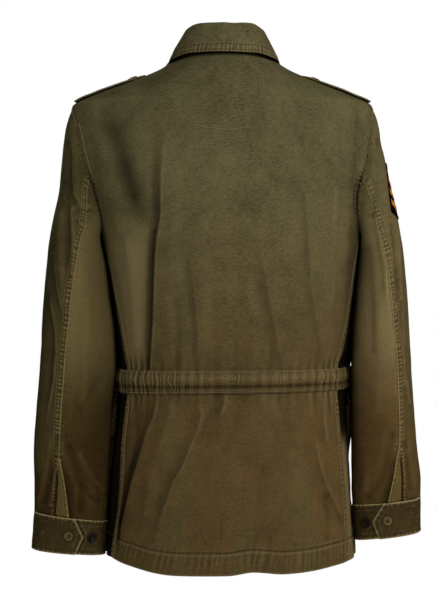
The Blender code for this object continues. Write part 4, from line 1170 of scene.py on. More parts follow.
class Cloth:
    """A cut piece of cloth: where its outer side lies, how it faces, how it is sewn and worn, and
    where it has painted highlights and painted shade. Its under side has as much painted shade
    as under says."""

    def __init__(self, cloth, thick=CLOTH):
        self.points, self.out = cloth
        shape = self.points.shape[:2]
        self.thick = np.full(shape, thick)
        self.rise = np.zeros(shape)
        self.wear_and_highlight = np.zeros(shape)
        self.shade = np.zeros(shape)
        self.under = 0.0
        self.threads = []

    def edge(self, side, rows=slice(None)):
        return from_side(self.points, side)[rows, 0]

    def beside(self, seam, strength=1.0, lean=0.15):
        """The ridges that a seam draws up here."""
        away, along = measured(self.points, seam.line)
        hollow, strong = seam.hollows(along + lean * away)
        over = strength * strong * hump(away, seam.middle, seam.reach)
        self.rise += seam.depth * over * (1 - 2 * hollow)
        # the pale pucker ridges are wear, and the darker hollows between them painted shade
        self.wear_and_highlight += 0.35 * over * (1 - hollow) ** 2
        self.shade += 0.40 * over * hollow
        return away

    def sewn(self, side, away, inset, rows=slice(None)):
        """A line of stitches that far in from a side, sunk in its groove."""
        self.rise -= 0.00040 * hump(away, inset, 0.0011)
        # painted shade in the stitches' groove
        self.shade += 0.15 * hump(away, inset, 0.0012)
        self.threads.append((side, rows, away, inset))

    def turned_edge(
        self,
        side,
        inset,
        rows=slice(None),
        pitch=0.0075,
        seed=1.0,
        depth=0.0003,
        wear_and_highlight=0.8,
        fine=1.0,
    ):
        """An edge turned in and stitched, which puckers between the edge and the stitches."""
        seam = Seam(self.edge(side, rows), pitch, seed, depth, inset * 0.5, inset * 0.7)
        away = self.beside(seam, fine)
        self.wear_and_highlight += wear_and_highlight * hump(away, 0.0, 0.0016 * (0.4 + 0.6 * fine))
        self.sewn(side, away, inset, rows)

    def hemmed(self, side, deep, rows=slice(None), pitch=0.0092, seed=1.0, depth=0.00024):
        """A wide turned hem: twice as thick, stitched along its top and rippled by it."""
        seam = Seam(self.edge(side, rows), pitch, seed, depth, deep * 0.62, deep * 0.45)
        away = self.beside(seam, 0.5)
        inside = 1 - step_up(away, deep - 0.001, deep + 0.001)
        self.thick += CLOTH * 0.8 * inside
        # the hem is a little darker all over, and painted shade lies just below its stitches
        self.shade += 0.08 * inside
        self.rise += 0.0005 * inside - 0.0004 * hump(away, deep, 0.0016)
        self.wear_and_highlight += 0.45 * hump(away, 0.0, 0.0014) + 0.22 * hump(away, deep - 0.0014, 0.0014)
        self.shade += 0.16 * hump(away, deep + 0.0014, 0.0018)
        self.sewn(side, away, deep, rows)

    def outer(self):
        return self.points + self.out * self.rise[..., None]

    def stitch_runs(self, lift=0.00012):
        """Its lines of stitches, as places on the cloth and how it faces there."""
        runs = []
        for side, rows, away, inset in self.threads:
            near = np.maximum.accumulate(from_side(away, side)[rows], axis=1)
            grids = (from_side(self.outer(), side)[rows], from_side(self.out, side)[rows])
            line = []
            for distance, places, outs in zip(near, *grids):
                if distance[-1] > inset:
                    column = np.interp(inset, distance, np.arange(len(distance)))
                    low = int(column)
                    place = places[low] + (places[low + 1] - places[low]) * (column - low)
                    line.append((place + outs[low] * lift, outs[low]))
            if len(line) > 2:
                line = np.array(line)
                runs.append((line[:, 0], line[:, 1]))
        return runs

    def relief_light_and_shade(self, reach=2):
        """A painted highlight on what stands out from the cloth around it, and painted shade in
        what lies deeper.
        """
        outer = np.pad(self.outer(), ((reach, reach), (reach, reach), (0, 0)), mode="edge")
        size = self.points.shape[:2]
        here = outer[reach : reach + size[0], reach : reach + size[1]]
        bend = np.zeros(size)
        for pair in (((0, reach), (2 * reach, reach)), ((reach, 0), (reach, 2 * reach))):
            ends = [outer[row : row + size[0], over : over + size[1]] for row, over in pair]
            first, second = (np.linalg.norm(end - here, axis=2)[..., None] for end in ends)
            chord = (ends[0] * second + ends[1] * first) / np.maximum(first + second, 1e-9)
            spread = np.maximum(4 * first * second, 0.004**2)[..., 0]
            bend += np.sum((chord - here) * self.out, axis=2) / spread
        bend -= np.median(bend)
        crest, hollow = -bend / CREST_BEND, bend / HOLLOW_BEND
        return np.clip(crest - LEVEL, 0, 1), np.clip(hollow - LEVEL, 0, 1)

    def shell(self, step=2):
        """Points and faces of the closed cloth with rounded edges, and the places that its
        sparser inner side and its edge repeat."""
        rows, columns = self.points.shape[:2]
        count = rows * columns
        number = np.arange(count).reshape(rows, columns)
        sparse_rows = np.unique([*range(0, rows, step), rows - 1])
        sparse_columns = np.unique([*range(0, columns, step), columns - 1])
        kept = number[np.ix_(sparse_rows, sparse_columns)]
        outer = self.outer().reshape(-1, 3)
        inner = outer - (self.out * self.thick[..., None]).reshape(-1, 3)
        border = border_of(number)
        depth = np.linalg.norm(outer[border] - inner[border], axis=1)[:, None]
        bulge = unit(outer[border] - outer[beside_border(number)]) * depth * 0.25
        middle = (outer[border] + inner[border]) / 2 + bulge
        points = np.concatenate([outer, inner[kept.ravel()], middle])

        lining = count + np.arange(kept.size).reshape(kept.shape)
        ring = count + kept.size + np.arange(len(border))
        place = {found: at for at, found in enumerate(border.tolist())}
        faces = quads(number).tolist() + quads(lining)[:, ::-1].tolist()
        rim = np.stack([np.roll(border, -1), border, ring, np.roll(ring, -1)], axis=1)
        faces += rim.tolist()
        corners, ends = border_of(kept).tolist(), border_of(lining).tolist()
        for index, (first, last) in enumerate(zip(corners, corners[1:] + corners[:1])):
            start, stop = place[first], place[last] or len(border)
            between = [int(ring[at % len(border)]) for at in range(stop, start - 1, -1)]
            faces.append([*between, ends[index], ends[(index + 1) % len(ends)]])
        a, b, c = (points[quads(number)[:, corner]] for corner in range(3))
        if np.sum(np.cross(b - a, c - a) * self.out[:-1, :-1].reshape(-1, 3)) < 0:
            faces = [face[::-1] for face in faces]
        return points, faces, kept.ravel(), border

    def layout(self):
        """How far each place lies across and along the cloth, in metres."""
        over, down = np.zeros((2, *self.points.shape[:2]))
        over[:, 1:] = np.cumsum(np.linalg.norm(np.diff(self.points, axis=1), axis=2), axis=1)
        over -= over[:, over.shape[1] // 2, None]
        down[1:] = np.cumsum(np.linalg.norm(np.diff(self.points, axis=0), axis=2), axis=0)
        return np.stack([over.ravel(), down.ravel()], axis=1)

    def make(self, name, finish, slot, nodes=()):
        points, faces, kept, border = self.shell()
        mesh = mesh_of(name, points, faces, finish)
        layout = self.layout()
        layout = np.concatenate([layout, layout[kept], layout[border]])
        used = np.empty(len(mesh.loops), int)
        mesh.loops.foreach_get("vertex_index", used)
        mesh.uv_layers.new(name="cut").data.foreach_set("uv", layout[used].ravel().astype("f"))
        # painted highlights on crests and painted shade in hollows, from how the cloth bends
        crest, hollow = self.relief_light_and_shade()
        wear_and_highlight = self.wear_and_highlight + CREST_HIGHLIGHT * crest
        shade = self.shade + HOLLOW_SHADE * hollow
        for word, amount, beneath in (("wear_and_highlight", wear_and_highlight, 0.0), ("shade", shade, self.under)):
            amount = np.clip(amount.ravel(), 0, 1)
            values = np.concatenate([amount, np.full(kept.size, beneath), amount[border]])
            made = mesh.attributes.new(word, "FLOAT", "POINT")
            made.data.foreach_set("value", values.astype("f"))
        return place_piece(name, mesh, nodes)


def stitches(name, runs, finish=OLIVE_THREAD):
    """Lines of stitches in one piece, each a short thread that dips at both ends."""
    template = [(x, y, z) for x in (-0.3, 0.3) for y, z in ((1, 0), (0, 1), (-1, 0), (0, -0.6))]
    template = np.array([*template, (-0.46, 0, -1.2), (0.46, 0, -1.2)])
    sizes = template * (STITCH * 0.86, THREAD_RADIUS, THREAD_RADIUS)
    faces = []
    for corner in range(4):
        after = (corner + 1) % 4
        faces += [(corner, after, after + 4, corner + 4)]
        faces += [(8, after, corner), (9, corner + 4, after + 4)]
    parts = []
    for line, out in runs:
        run = run_of(line)
        for at in np.arange(STITCH / 2, run[-1], STITCH):
            reach = STITCH * 0.3
            before, centre, after = read_along([at - reach, at, at + reach], run, line)
            forward = unit(after - before)
            aside = unit(np.cross(read_along([at], run, out)[0], forward))
            frame_of = np.stack([forward, aside, np.cross(forward, aside)])
            parts.append((centre + sizes @ frame_of, faces))
    return joined(name, parts, finish)


def felled_band(cloth, first, second, width, seam, seam_worn=0.65):
    """A felled seam's double edge and its two lines of stitches, from rows of places in from it."""
    band = Cloth(cloth(first, second, BAND_HEIGHT), BAND_HEIGHT + SUNK)
    band.beside(seam, 0.65)
    away = np.broadcast_to(np.linspace(0, width, first.shape[1]), first.shape)
    band.wear_and_highlight += seam_worn * hump(away, 0.0, 0.0014) + 0.40 * hump(away, width, 0.0014)
    for inset in (0.0022, width - 0.0020):
        band.sewn("first", away, inset)
    return band


def in_from(surface, first, second, towards, width, steps=10):
    """Rows of places that run in from a line on a surface, on the side where a place lies."""
    small = 1e-4
    by_first = (surface(first + small, second) - surface(first - small, second)) / (2 * small)
    by_second = (surface(first, second + small) - surface(first, second - small)) / (2 * small)
    line = surface(first, second)
    aside = unit(np.cross(np.cross(by_second, by_first), np.gradient(line, axis=0)))

    def dot(one, other):
        return np.sum(one * other, axis=-1)

    aside *= np.sign(dot(aside, towards - line))[:, None]
    a, b, c = dot(by_first, by_first), dot(by_first, by_second), dot(by_second, by_second)
    p, q = dot(by_first, aside), dot(by_second, aside)
    spread = a * c - b * b
    away = np.linspace(0, width, steps + 1)
    more_first = ((c * p - b * q) / spread)[:, None] * away
    more_second = ((a * q - b * p) / spread)[:, None] * away
    return first[:, None] + more_first, second[:, None] + more_second


def evenly(surface, first, second, count, before=BESIDE_SEAM, after=BESIDE_SEAM):
    """Rows of places between two edges, each a pair of arrays: even, but closer at the seams."""
    share = np.linspace(0, 1, 160)
    firsts = first[0][:, None] * (1 - share) + second[0][:, None] * share
    seconds = first[1][:, None] * (1 - share) + second[1][:, None] * share
    rows = []
    for line in surface(firsts, seconds):
        run = run_of(line)
        middle = np.linspace(before[-1], run[-1] - after[-1], count + 1)[1:-1]
        rows.append(np.interp([*before, *middle, *(run[-1] - after[::-1])], run, share))
    rows = np.array(rows)
    return [one[:, None] * (1 - rows) + other[:, None] * rows for one, other in zip(first, second)]


def along_evenly(surface, low, high, count):
    """Values between two that lie evenly along the curve that they give."""
    fine = np.linspace(low, high, 400)
    run = run_of(surface(fine))
    return np.interp(np.linspace(0, run[-1], count + 1), run, fine)


# ---- The body's cloth -----------------------------------------------------------------------

ARMHOLE_BAND = 0.0085
SIDE_BAND = 0.0090
SHOULDER_BAND = 0.0090
SLEEVE_BAND = 0.0105
BAND_STEP = 0.0013
HEM_DEEP = 0.031
# how much paler a painted highlight makes the back beside its left arm
BESIDE_ARM_HIGHLIGHT = 0.42
ARMHOLE_DEEP = (0.176, 0.205)  # below the neck, where the armhole's seam turns in under the arm
STRAP_SHADOW_BEYOND = 0.0020
STRAP_SHADOW_WIDTH = 0.0042


def armhole_line(side, face, angles):
    return body_cloth(*armhole(side, face * angles))[0]


def armhole_seam(side, face):
    angles = np.linspace(0.0, np.pi, 240)
    line = armhole_line(side, face, angles)
    return Seam(line, 0.0066, 1.0 + side + 0.5 * face, 0.00050, 0.0042, 0.0030)


def side_line(side):
    turn, height = side_seam(side)
    return body_cloth(turn, height)[0]


def side_seam_ridges(side):
    return Seam(side_line(side), 0.0070, 4.0 + side, 0.00036, 0.0042, 0.0030)


def shoulder_line(side):
    height = np.linspace(0, TIP_Z, 80)
    return body_cloth(side * 0.5 + 0 * height, height)[0]


def shoulder_seam(side):
    return Seam(shoulder_line(side), 0.0070, 6.0 + side, 0.0003, 0.0042, 0.0030)


def armhole_angles(side):
    return along_evenly(lambda angle: body(*armhole(side, angle)), 0, np.pi, ARMHOLE_STEPS)


def beside_all(cloth, seams, strength=0.25):
    for seam in seams:
        cloth.beside(seam, strength)


def make_back():
    edges = []
    for side in (-1, 1):
        shoulder = np.linspace(0, TIP_Z, SHOULDER_STEPS + 1)
        armhole_turn, armhole_height = armhole(side, armhole_angles(side)[1:])
        seam_turn, seam_height = side_seam(side)
        turn = np.concatenate([np.full(len(shoulder), side * 0.5), armhole_turn, seam_turn])
        edges.append((turn, np.concatenate([shoulder, armhole_height, seam_height])))
    turn, height = evenly(body, *edges, 166)
    below = len(BODY_LEVELS)
    height[-below:] = with_hem(turn[-below:], BODY_LEVELS[:, None])
    back = Cloth(body_cloth(turn, with_neck(turn, height)))
    paint_light_on_back(back)
    for side in WORDS:
        beside_all(back, (armhole_seam(side, 1), side_seam_ridges(side), shoulder_seam(side)))
    back.hemmed("bottom", HEM_DEEP, seed=2.0)
    for side in WORDS:
        shade_back_edges(back, side)
    beside_neck, below_neck = neck_seam(back)
    runs = back.stitch_runs() + beside_neck
    pieces = [back.make("back_panel", BODY_SATEEN, "cloth", ["back"])]
    for side in (-1, 1):
        word = WORDS[side]
        bands = {
            "armhole": armhole_band(side, 1),
            "side": side_band(side),
            "shoulder": shoulder_band(side),
        }
        for place, band in bands.items():
            runs += band.stitch_runs()
            pieces.append(band.make(f"{place}_band_{word}", BODY_SATEEN, "cloth"))
    pieces.append(stitches("back_stitches", runs))
    pieces.append(stitches("neck_stitches", below_neck, PALE_THREAD))
    return pieces


def paint_light_on_back(back):
    """Painted shade on the banks of the back's folds and in its streaks beside them, and a painted
    highlight beside its left arm."""
    x, _, z = np.moveaxis(back.points, 2, 0)
    back.shade += dusk(back.points, BACK_PLEATS, on_the_back)
    back.wear_and_highlight += BESIDE_ARM_HIGHLIGHT * step_up(x, 0.095, 0.125) * span(-z, (0.22, 0.29), (0.43, 0.455))
    for dark, width, *line in BACK_DUSK:
        away, _, down = beside_line(x, z, [on_the_back(place) for place in line])
        ends = step_up(down, 0, 0.2) * step_up(1 - down, 0, 0.2)
        back.shade += dark * hump(away, 0, width / 1000) * ends


def shade_back_edges(back, side):
    """Shade where the sleeve hangs beside the armhole, and under the shoulder strap's edge."""
    away = measured(back.points, armhole_line(side, 1, armhole_angles(side)))[0]
    back.shade += 0.9 * hump(away, 0.0, 0.0022) * step_up(-back.points[..., 2], *ARMHOLE_DEEP)
    x = np.linspace(STRAP_INNER, STRAP_OUTER[side] * side, 60) * side
    y = SHOULDER_Y + STRAP_HALF_WIDTH + STRAP_SHADOW_BEYOND + 0 * x
    edge = body_cloth(*shoulder_place(side, x, y))[0]
    back.shade += 0.95 * hump(measured(back.points, edge)[0], 0.0, STRAP_SHADOW_WIDTH)


def neck_seam(back):
    """The faced rectangle of stitching below the collar, and its lines of stitches."""
    runs = []
    for seam in NECK_STITCHES:
        across, down = np.array(seam).T
        x, z = on_the_back((across, down))
        share = np.linspace(0, 1, 60)
        knots = np.linspace(0, 1, len(x))
        x, z = np.interp(share, knots, x), np.interp(share, knots, z)
        line, out = on_back(x, z)
        away = back.beside(Seam(line, 0.0072, 3.0, 0.00008, 0.0, 0.0030), 0.25)
        back.rise -= 0.0002 * hump(away, 0, 0.0014)
        runs.append((line + out * 0.0001, out))
    return runs[:-1], runs[-1:]


def on_back(x, z):
    """Places on the back at x and z."""
    half = np.where(x > 0, torso("left", z), torso("right", z))
    level = np.clip(np.abs(x) / half, 0, 1) ** (torso("square", z) / 2)
    turn = np.sign(x) * np.arcsin(level) / np.pi
    return body_cloth(turn, z)


def armhole_band(side, face):
    """The felled seam along the back half (1) or the front half (-1) of an armhole."""
    count = round(0.25 / BAND_STEP)
    angle = along_evenly(lambda at: body(*armhole(side, face * at)), 0.0, np.pi, count)
    turn, height = armhole(side, face * angle)
    places = in_from(body, turn, height, np.array([0, 0.10 * face, -0.35]), ARMHOLE_BAND)
    band = felled_band(body_cloth, *places, ARMHOLE_BAND, armhole_seam(side, face))
    # where the seam turns in under the arm, painted shade takes the place of the pale worn edge
    low = step_up(-band.points[..., 2], 0.160, 0.185)
    away = np.linspace(0, ARMHOLE_BAND, places[0].shape[1])
    band.wear_and_highlight *= 1 - low
    band.shade += low * (0.95 * hump(away, 0.0, 0.0024) + 0.25)
    return band


def side_band(side):
    turn, height = side_seam(side)
    fine = np.linspace(0, 1, round(0.49 / BAND_STEP))
    run = np.linspace(0, 1, len(turn))
    turn, height = np.interp(fine, run, turn), np.interp(fine, run, height)
    places = in_from(body, turn, height, np.array([0, 0.12, -0.45]), SIDE_BAND)
    return felled_band(body_cloth, *places, SIDE_BAND, side_seam_ridges(side), seam_worn=0.15)


def shoulder_band(side):
    height = np.linspace(0, TIP_Z, round(0.16 / BAND_STEP))[:, None]
    away = np.linspace(0, SHOULDER_BAND, 11)
    turn = turn_at_y(side, SHOULDER_Y + away + 0 * height, height + 0 * away)
    return felled_band(body_cloth, turn, height + 0 * away, SHOULDER_BAND, shoulder_seam(side))


def make_front(side):
    word = WORDS[side]
    armhole_turn, armhole_height = armhole(side, -armhole_angles(side))
    seam_turn, seam_height = side_seam(side)
    outer = (
        np.concatenate([armhole_turn, seam_turn]),
        np.concatenate([armhole_height, seam_height]),
    )
    neck_turn, neck_height = neckline(np.linspace(np.pi / 2, np.pi, NECKLINE_STEPS + 1))
    lower = BODY_LEVELS[BODY_LEVELS < CASING_TOP - 1e-6]
    above = len(outer[0]) - len(neck_turn) - len(lower)
    upper = np.linspace(-NECK_DROP, CASING_TOP, above + 1)[1:]
    centre = np.concatenate([upper, lower])
    inner = (
        side * np.concatenate([neck_turn, np.ones(len(centre))]),
        np.concatenate([neck_height, centre]),
    )
    turn, height = evenly(body, outer, inner, 84, BESIDE_SEAM, np.array([0, 0.002]))
    front = Cloth(body_cloth(turn, height))
    beside_all(front, (armhole_seam(side, -1), side_seam_ridges(side), shoulder_seam(side)))
    # painted shade on the front beside the arm, and low on the right side a painted highlight in
    # its place
    beside_arm = step_up(0.64 - np.abs(turn), 0.0, 0.08) * step_up(-height, 0.235, 0.265)
    in_light = 1 - step_up(height, -0.575, -0.545) if side < 0 else 0.0
    front.shade += 0.95 * beside_arm * (1 - in_light)
    front.wear_and_highlight += 0.35 * beside_arm * in_light
    front.hemmed("bottom", HEM_DEEP, seed=5.0 + side)
    runs = front.stitch_runs()
    pieces = [front.make(f"front_panel_{word}", BODY_SATEEN, "cloth", [f"front_{word}"])]
    band = armhole_band(side, -1)
    runs += band.stitch_runs()
    pieces.append(band.make(f"front_armhole_band_{word}", BODY_SATEEN, "cloth"))
    pieces.append(stitches(f"front_stitches_{word}", runs))
    return pieces


def make_front_band():
    """The double strip that covers the closure."""
    x = np.linspace(-BAND_HALF_WIDTH, BAND_HALF_WIDTH, 31)
    height = stops(BAND_TOP, (HEM_Z, 0.0034))[:, None] + 0 * x
    band = Cloth(body_cloth(front_turn_at_x(x + 0 * height, height), height, LIE + CLOTH))
    for edge, seed in (("first", 1.5), ("last", 2.5), ("top", 3.5)):
        band.turned_edge(edge, 0.006, seed=seed)
    band.hemmed("bottom", HEM_DEEP, seed=3.0, depth=0.0003)
    piece = band.make("front_band_cloth", BODY_SATEEN, "cloth", ["front_band"])
    return [piece, stitches("front_band_stitches", band.stitch_runs())]


def through_noise(run, size, seed):
    """An uneven wave along a line, within about -1 and 1."""
    return 2 * np.array([noise.noise(Vector((at / size, seed, 0))) for at in run.tolist()])


def make_casing():
    """The strip round the waist, gathered over the cord that runs inside it."""
    middle = np.array((CASING_TOP + CASING_BOTTOM) / 2)
    end = front_turn_at_x(np.array(CASING_END), middle)
    line = along_evenly(lambda turn: body(turn, middle + 0 * turn), -end, end, CASING_STEPS)
    share = np.linspace(0, 1, 27)[:, None]
    tilt = CASING_TILT[0] + (CASING_TILT[1] - CASING_TILT[0]) * share
    height = CASING_TOP + (CASING_BOTTOM - CASING_TOP) * share - tilt * np.sin(np.pi * line)
    run = run_of(body(line, middle + 0 * line))
    tight, ribs, lean = casing_ribs(line, run, share)
    swell = 0.0026 * hump(share, 0.34, 0.26) + 0.0010 * hump(share, 0.88, 0.12)
    deep = 0.00025 + 0.00085 * hump(share, 0.45, 0.40)
    casing = Cloth(body_cloth(line + 0 * height, height, CASING_LIE + CLOTH))
    casing.rise += np.maximum(swell + deep * tight * (ribs + lean), -0.0004)
    # painted shade under the cord's ridge and between the gathers, and painted highlights on the
    # gathers and across the upper half; the pale edges are wear
    below_cord = 0.30 * hump(share, 0.66, 0.06) + 0.26 * step_up(share, 0.58, 0.72)
    casing.shade += below_cord + 0.30 * tight * np.clip(-ribs, 0, 1)
    casing.wear_and_highlight += 0.16 * tight * np.clip(ribs, 0, 1) + 0.08 * hump(share, 0.25, 0.2)
    casing.wear_and_highlight += 0.35 * hump(share, 0.0, 0.04) + 0.30 * hump(share, 1.0, 0.04)
    for side in ("top", "bottom"):
        away = np.linalg.norm(casing.points - casing.edge(side)[None], axis=2)
        casing.sewn(side, away, 0.0022)
    piece = casing.make("waist_casing_cloth", BODY_SATEEN, "cloth", ["waist_casing"])
    return [piece, stitches("waist_casing_stitches", casing.stitch_runs(0.0003), PALE_THREAD)]


def casing_ribs(line, run, share):
    """How tightly the casing is drawn up, its upright ribs, and those that lean across them."""
    uneven = through_noise(run, 0.012, 4.0)
    grid = (run / 0.011 + 0 * share, share * 1.7 + 0 * run, 5.0 + 0 * share * run)
    wander = 2 * rumple(np.stack(grid, axis=-1), 1.0, 1.0)
    ribs = np.sin(2 * np.pi * run / CASING_RIB + 5.0 * uneven + 1.4 * wander)
    ribs = ribs + 0.8 * through_noise(run, 0.0042, 9.0)
    lean = 0.7 * np.sin(2 * np.pi * run / CASING_LEANING_RIB + 4 * share + 4.0 * wander)
    tight = 0.10 + 0.75 * step_up(line, 0.06, 0.30) + 0.60 * step_up(-line, 0.22, 0.38)
    patchy = 0.45 + 0.9 * np.clip(through_noise(run, 0.030, 2.0) + 0.4, 0, 1)
    return tight * patchy * (0.75 + 0.6 * wander), ribs, lean


def pocket_lift(turn, height):
    first, last = POCKET_TURNS
    across = np.clip((np.abs(turn) - first) / (last - first), 0, 1)
    down = np.clip((POCKET_TOP - height) / (POCKET_TOP - POCKET_BOTTOM), 0, 1)
    upright = np.sin(np.pi * (POCKET_MOUTH + (1 - POCKET_MOUTH) * down))
    return LIE + POCKET_SWELL * np.sin(np.pi * across) ** 0.5 * upright**0.6


def make_pocket(side):
    word = WORDS[side]
    turn = side * np.linspace(*POCKET_TURNS, 70)
    height = np.linspace(POCKET_TOP, POCKET_BOTTOM, 64)[:, None] + 0 * turn
    turn = turn + 0 * height
    pocket = Cloth(body_cloth(turn, height, pocket_lift(turn, height) + CLOTH))
    for edge, seed in (("first", 1.0), ("last", 2.0), ("bottom", 3.0)):
        pocket.turned_edge(edge, 0.0025, seed=seed + side)
        pocket.turned_edge(edge, 0.0085, seed=seed, wear_and_highlight=0.0, depth=0.0002)
    height = np.linspace(FLAP[0][0], FLAP[-1][0], 26)[:, None] + 0 * turn[:1]
    over = read(FLAP, FLAP_COLUMNS, "over the pocket", height)
    turn = turn[:1] + 0 * height
    lift = LIE + (pocket_lift(turn, height) - LIE + CLOTH + LIE) * over + CLOTH
    flap = Cloth(body_cloth(turn, height, lift))
    for edge, seed in (("first", 4.0), ("last", 5.0), ("bottom", 6.0), ("top", 7.0)):
        flap.turned_edge(edge, 0.0060, seed=seed + side)
    pieces = [
        cloth.make(f"{name}_cloth_{word}", BODY_SATEEN, "cloth", [f"{name}_{word}"])
        for name, cloth in (("pocket", pocket), ("pocket_flap", flap))
    ]
    runs = pocket.stitch_runs() + flap.stitch_runs()
    return [*pieces, stitches(f"pocket_stitches_{word}", runs)]


def strap_lift(along):
    return LIE + STRAP_END_LIFT * (1 - along) ** 2 + STRAP_ARCH * np.sin(np.pi * along)


def make_strap(side):
    """A shoulder strap from the armhole seam to its point near the neck."""
    word = WORDS[side]
    along = np.linspace(0, 1, 64)
    width = np.linspace(-1, 1, 26)[:, None]
    inner_end = STRAP_INNER - STRAP_POINT * (1 - np.abs(width))
    x = STRAP_OUTER[side] + (inner_end - STRAP_OUTER[side]) * along
    y = SHOULDER_Y + STRAP_HALF_WIDTH * width + 0 * x
    turn, height = shoulder_place(side, x, y)
    strap = Cloth(body_cloth(turn, height, strap_lift(along) + STRAP_THICK + 0 * x), STRAP_THICK)
    for edge, seed in (("top", 1.0), ("bottom", 2.0), ("last", 3.0)):
        strap.turned_edge(edge, 0.0050, seed=seed + side, wear_and_highlight=0.4, fine=0.6)
    # painted shade on the strap's under side
    strap.under = 0.95
    piece = strap.make(f"strap_cloth_{word}", BODY_SATEEN, "cloth", [f"strap_{word}"])
    return [piece, stitches(f"strap_stitches_{word}", strap.stitch_runs())]


# ---- The collar -----------------------------------------------------------------------------


def collar_sizes(degrees):
    """Top of the stand, the fall's edge and the neckline, round the collar."""
    size = np.abs(degrees)
    side = np.where(degrees < 0, -1.0, 1.0)

    def column(name):
        return read(COLLAR, COLLAR_COLUMNS, name, size)

    top = np.stack([side * column("x"), column("y"), column("z")], axis=-1)
    edge_turn = side * column("edge turn")
    edge_height = column("edge height")
    edge = body(edge_turn, edge_height)
    edge += facing(body, edge_turn, edge_height) * column("edge lift")[:, None]
    turn, height = neckline(np.radians(size))
    return top, edge, body(side * turn, height)


def make_collar():
    degrees = np.linspace(-COLLAR_END, COLLAR_END, 321)
    top, edge, neck = collar_sizes(degrees)
    outwards = np.stack([np.sin(np.radians(degrees)), np.cos(np.radians(degrees))], axis=-1)
    base = neck.copy()
    base[:, :2] -= outwards * COLLAR_INSET
    base[:, 2] -= COLLAR_SINK
    along = np.gradient(top, axis=0)
    rising = unit(top - base)
    stand_out = unit(np.cross(rising, along))
    short = top - rising * 0.0008
    outer = np.stack([base + (short - base) * share for share in np.linspace(0, 1, 17)])
    outer += stand_out * CLOTH / 2
    stand = Cloth((outer, np.broadcast_to(stand_out, outer.shape).copy()))
    away = np.linalg.norm(outer - outer[0], axis=2)
    for inset in (0.008, 0.016, 0.024):
        stand.sewn("top", away, inset)
    pieces = [stand.make("collar_stand_cloth", CUFF_SATEEN, "shaded_cloth", ["collar_stand"])]

    falling = unit(edge - top)
    out = unit(np.cross(along, falling))
    roll = [
        top + COLLAR_ROLL * (np.cos(turn) * out - np.sin(turn) * falling)
        for turn in np.radians(np.linspace(130, 10, 10))
    ]
    start = top + COLLAR_ROLL * out
    swell = out * COLLAR_SWELL * np.cos(np.radians(degrees / 2))[:, None] ** 4
    shares = np.concatenate([np.linspace(0, 0.7, 26)[:-1], np.linspace(0.7, 1, 20)])
    drop = [start + (edge - start) * share + swell * np.sin(np.pi * share) for share in shares]
    outer = np.stack(roll + drop)
    faced = unit(np.cross(np.gradient(outer, axis=1), np.gradient(outer, axis=0)))
    outer += faced * (rumple(outer, 0.030, 0.0012) + rumple(outer + 3, 0.012, 0.0005))[..., None]
    fall = Cloth((outer, faced))
    for inset, pitch, depth, wear_and_highlight, fine in COLLAR_EDGE:
        fall.turned_edge("bottom", inset, pitch=pitch, depth=depth, wear_and_highlight=wear_and_highlight, fine=fine)
    for end in ("first", "last"):
        fall.turned_edge(end, 0.006, seed=2.0, depth=0.0002)
    pieces.append(fall.make("collar_fall_cloth", BODY_SATEEN, "cloth", ["collar_fall"]))
    pieces.append(stitches("collar_stitches", fall.stitch_runs() + stand.stitch_runs()))
    return pieces


# ---- The sleeves ----------------------------------------------------------------------------


def back_seam(side, down):
    return np.radians(read(BACK_SEAM, BACK_SEAM_COLUMNS, WORDS[side], down))


def front_seam(side, down, rounds=0):
    return np.radians(FRONT_SEAM + 360 * rounds) + 0 * down


def sleeve_seam(side, seam_at, seed):
    down = np.linspace(0, 1, 420)
    line = sleeve_cloth(side, seam_at(side, down), down)[0]
    return Seam(line, 0.0066, seed + side, 0.00048, 0.0048, 0.0036)


def sleeve_panel(side, first, last, count, seams):
    edges = [(edge(side, SLEEVE_DOWNS), SLEEVE_DOWNS) for edge in (first, last)]
    angle, down = evenly(partial(sleeve, side), *edges, count)
    panel = Cloth(sleeve_cloth(side, angle, down))
    beside_all(panel, seams)
    head = Seam(armhole_ring(side, angle[0])[0], 0.0072, 2.0 + side, 0.0003, 0.0, 0.0036)
    away = panel.beside(head)
    # painted shade along the sleeve head, darkest where it turns in under the arm
    low = step_up(-panel.points[..., 2], *ARMHOLE_DEEP)
    panel.shade += (0.35 + 0.55 * low) * hump(away, 0, 0.0024)
    # painted shade where the sleeve's inner side lies close to the body
    x, y, z = np.moveaxis(panel.points, 2, 0)
    gap = side * (x - body(turn_at_y(side, y, z), z)[..., 0])
    beside_back = step_up(-z, 0.21, 0.25) * step_up(-y, -0.004, 0.020)
    panel.shade += 0.9 * hump(gap, 0, 0.0045) * beside_back
    shade_vent(side, panel, angle, down)
    return panel


def shade_vent(side, panel, angle, down):
    """Shade in the slit above the cuff, and beside the flap that stands open over it."""
    past = (angle - back_seam(side, down)) * np.linalg.norm(oval_reach(side, down), axis=-1)
    open_here = step_up(down, VENT_TOP + 0.01, VENT_TOP + 0.06)
    wide = VENT_TIP_WIDTH + VENT_WIDTH * (down - VENT_TOP) / (1 - VENT_TOP)
    panel.shade += 0.85 * open_here * span(past, (-0.0045, -0.0025), (0.0, 0.002))
    panel.shade += 0.45 * open_here * hump(past - wide, 0.003, 0.006) * (past > 0)


def oval_reach(side, down):
    """From the middle of a sleeve to its outer side."""
    places, rows = sleeve_rows(side)
    halves = ((rows[:, at] - rows[:, at + 3]) / 2 for at in range(3))
    return np.stack([through(down, places, half) for half in halves], axis=-1)


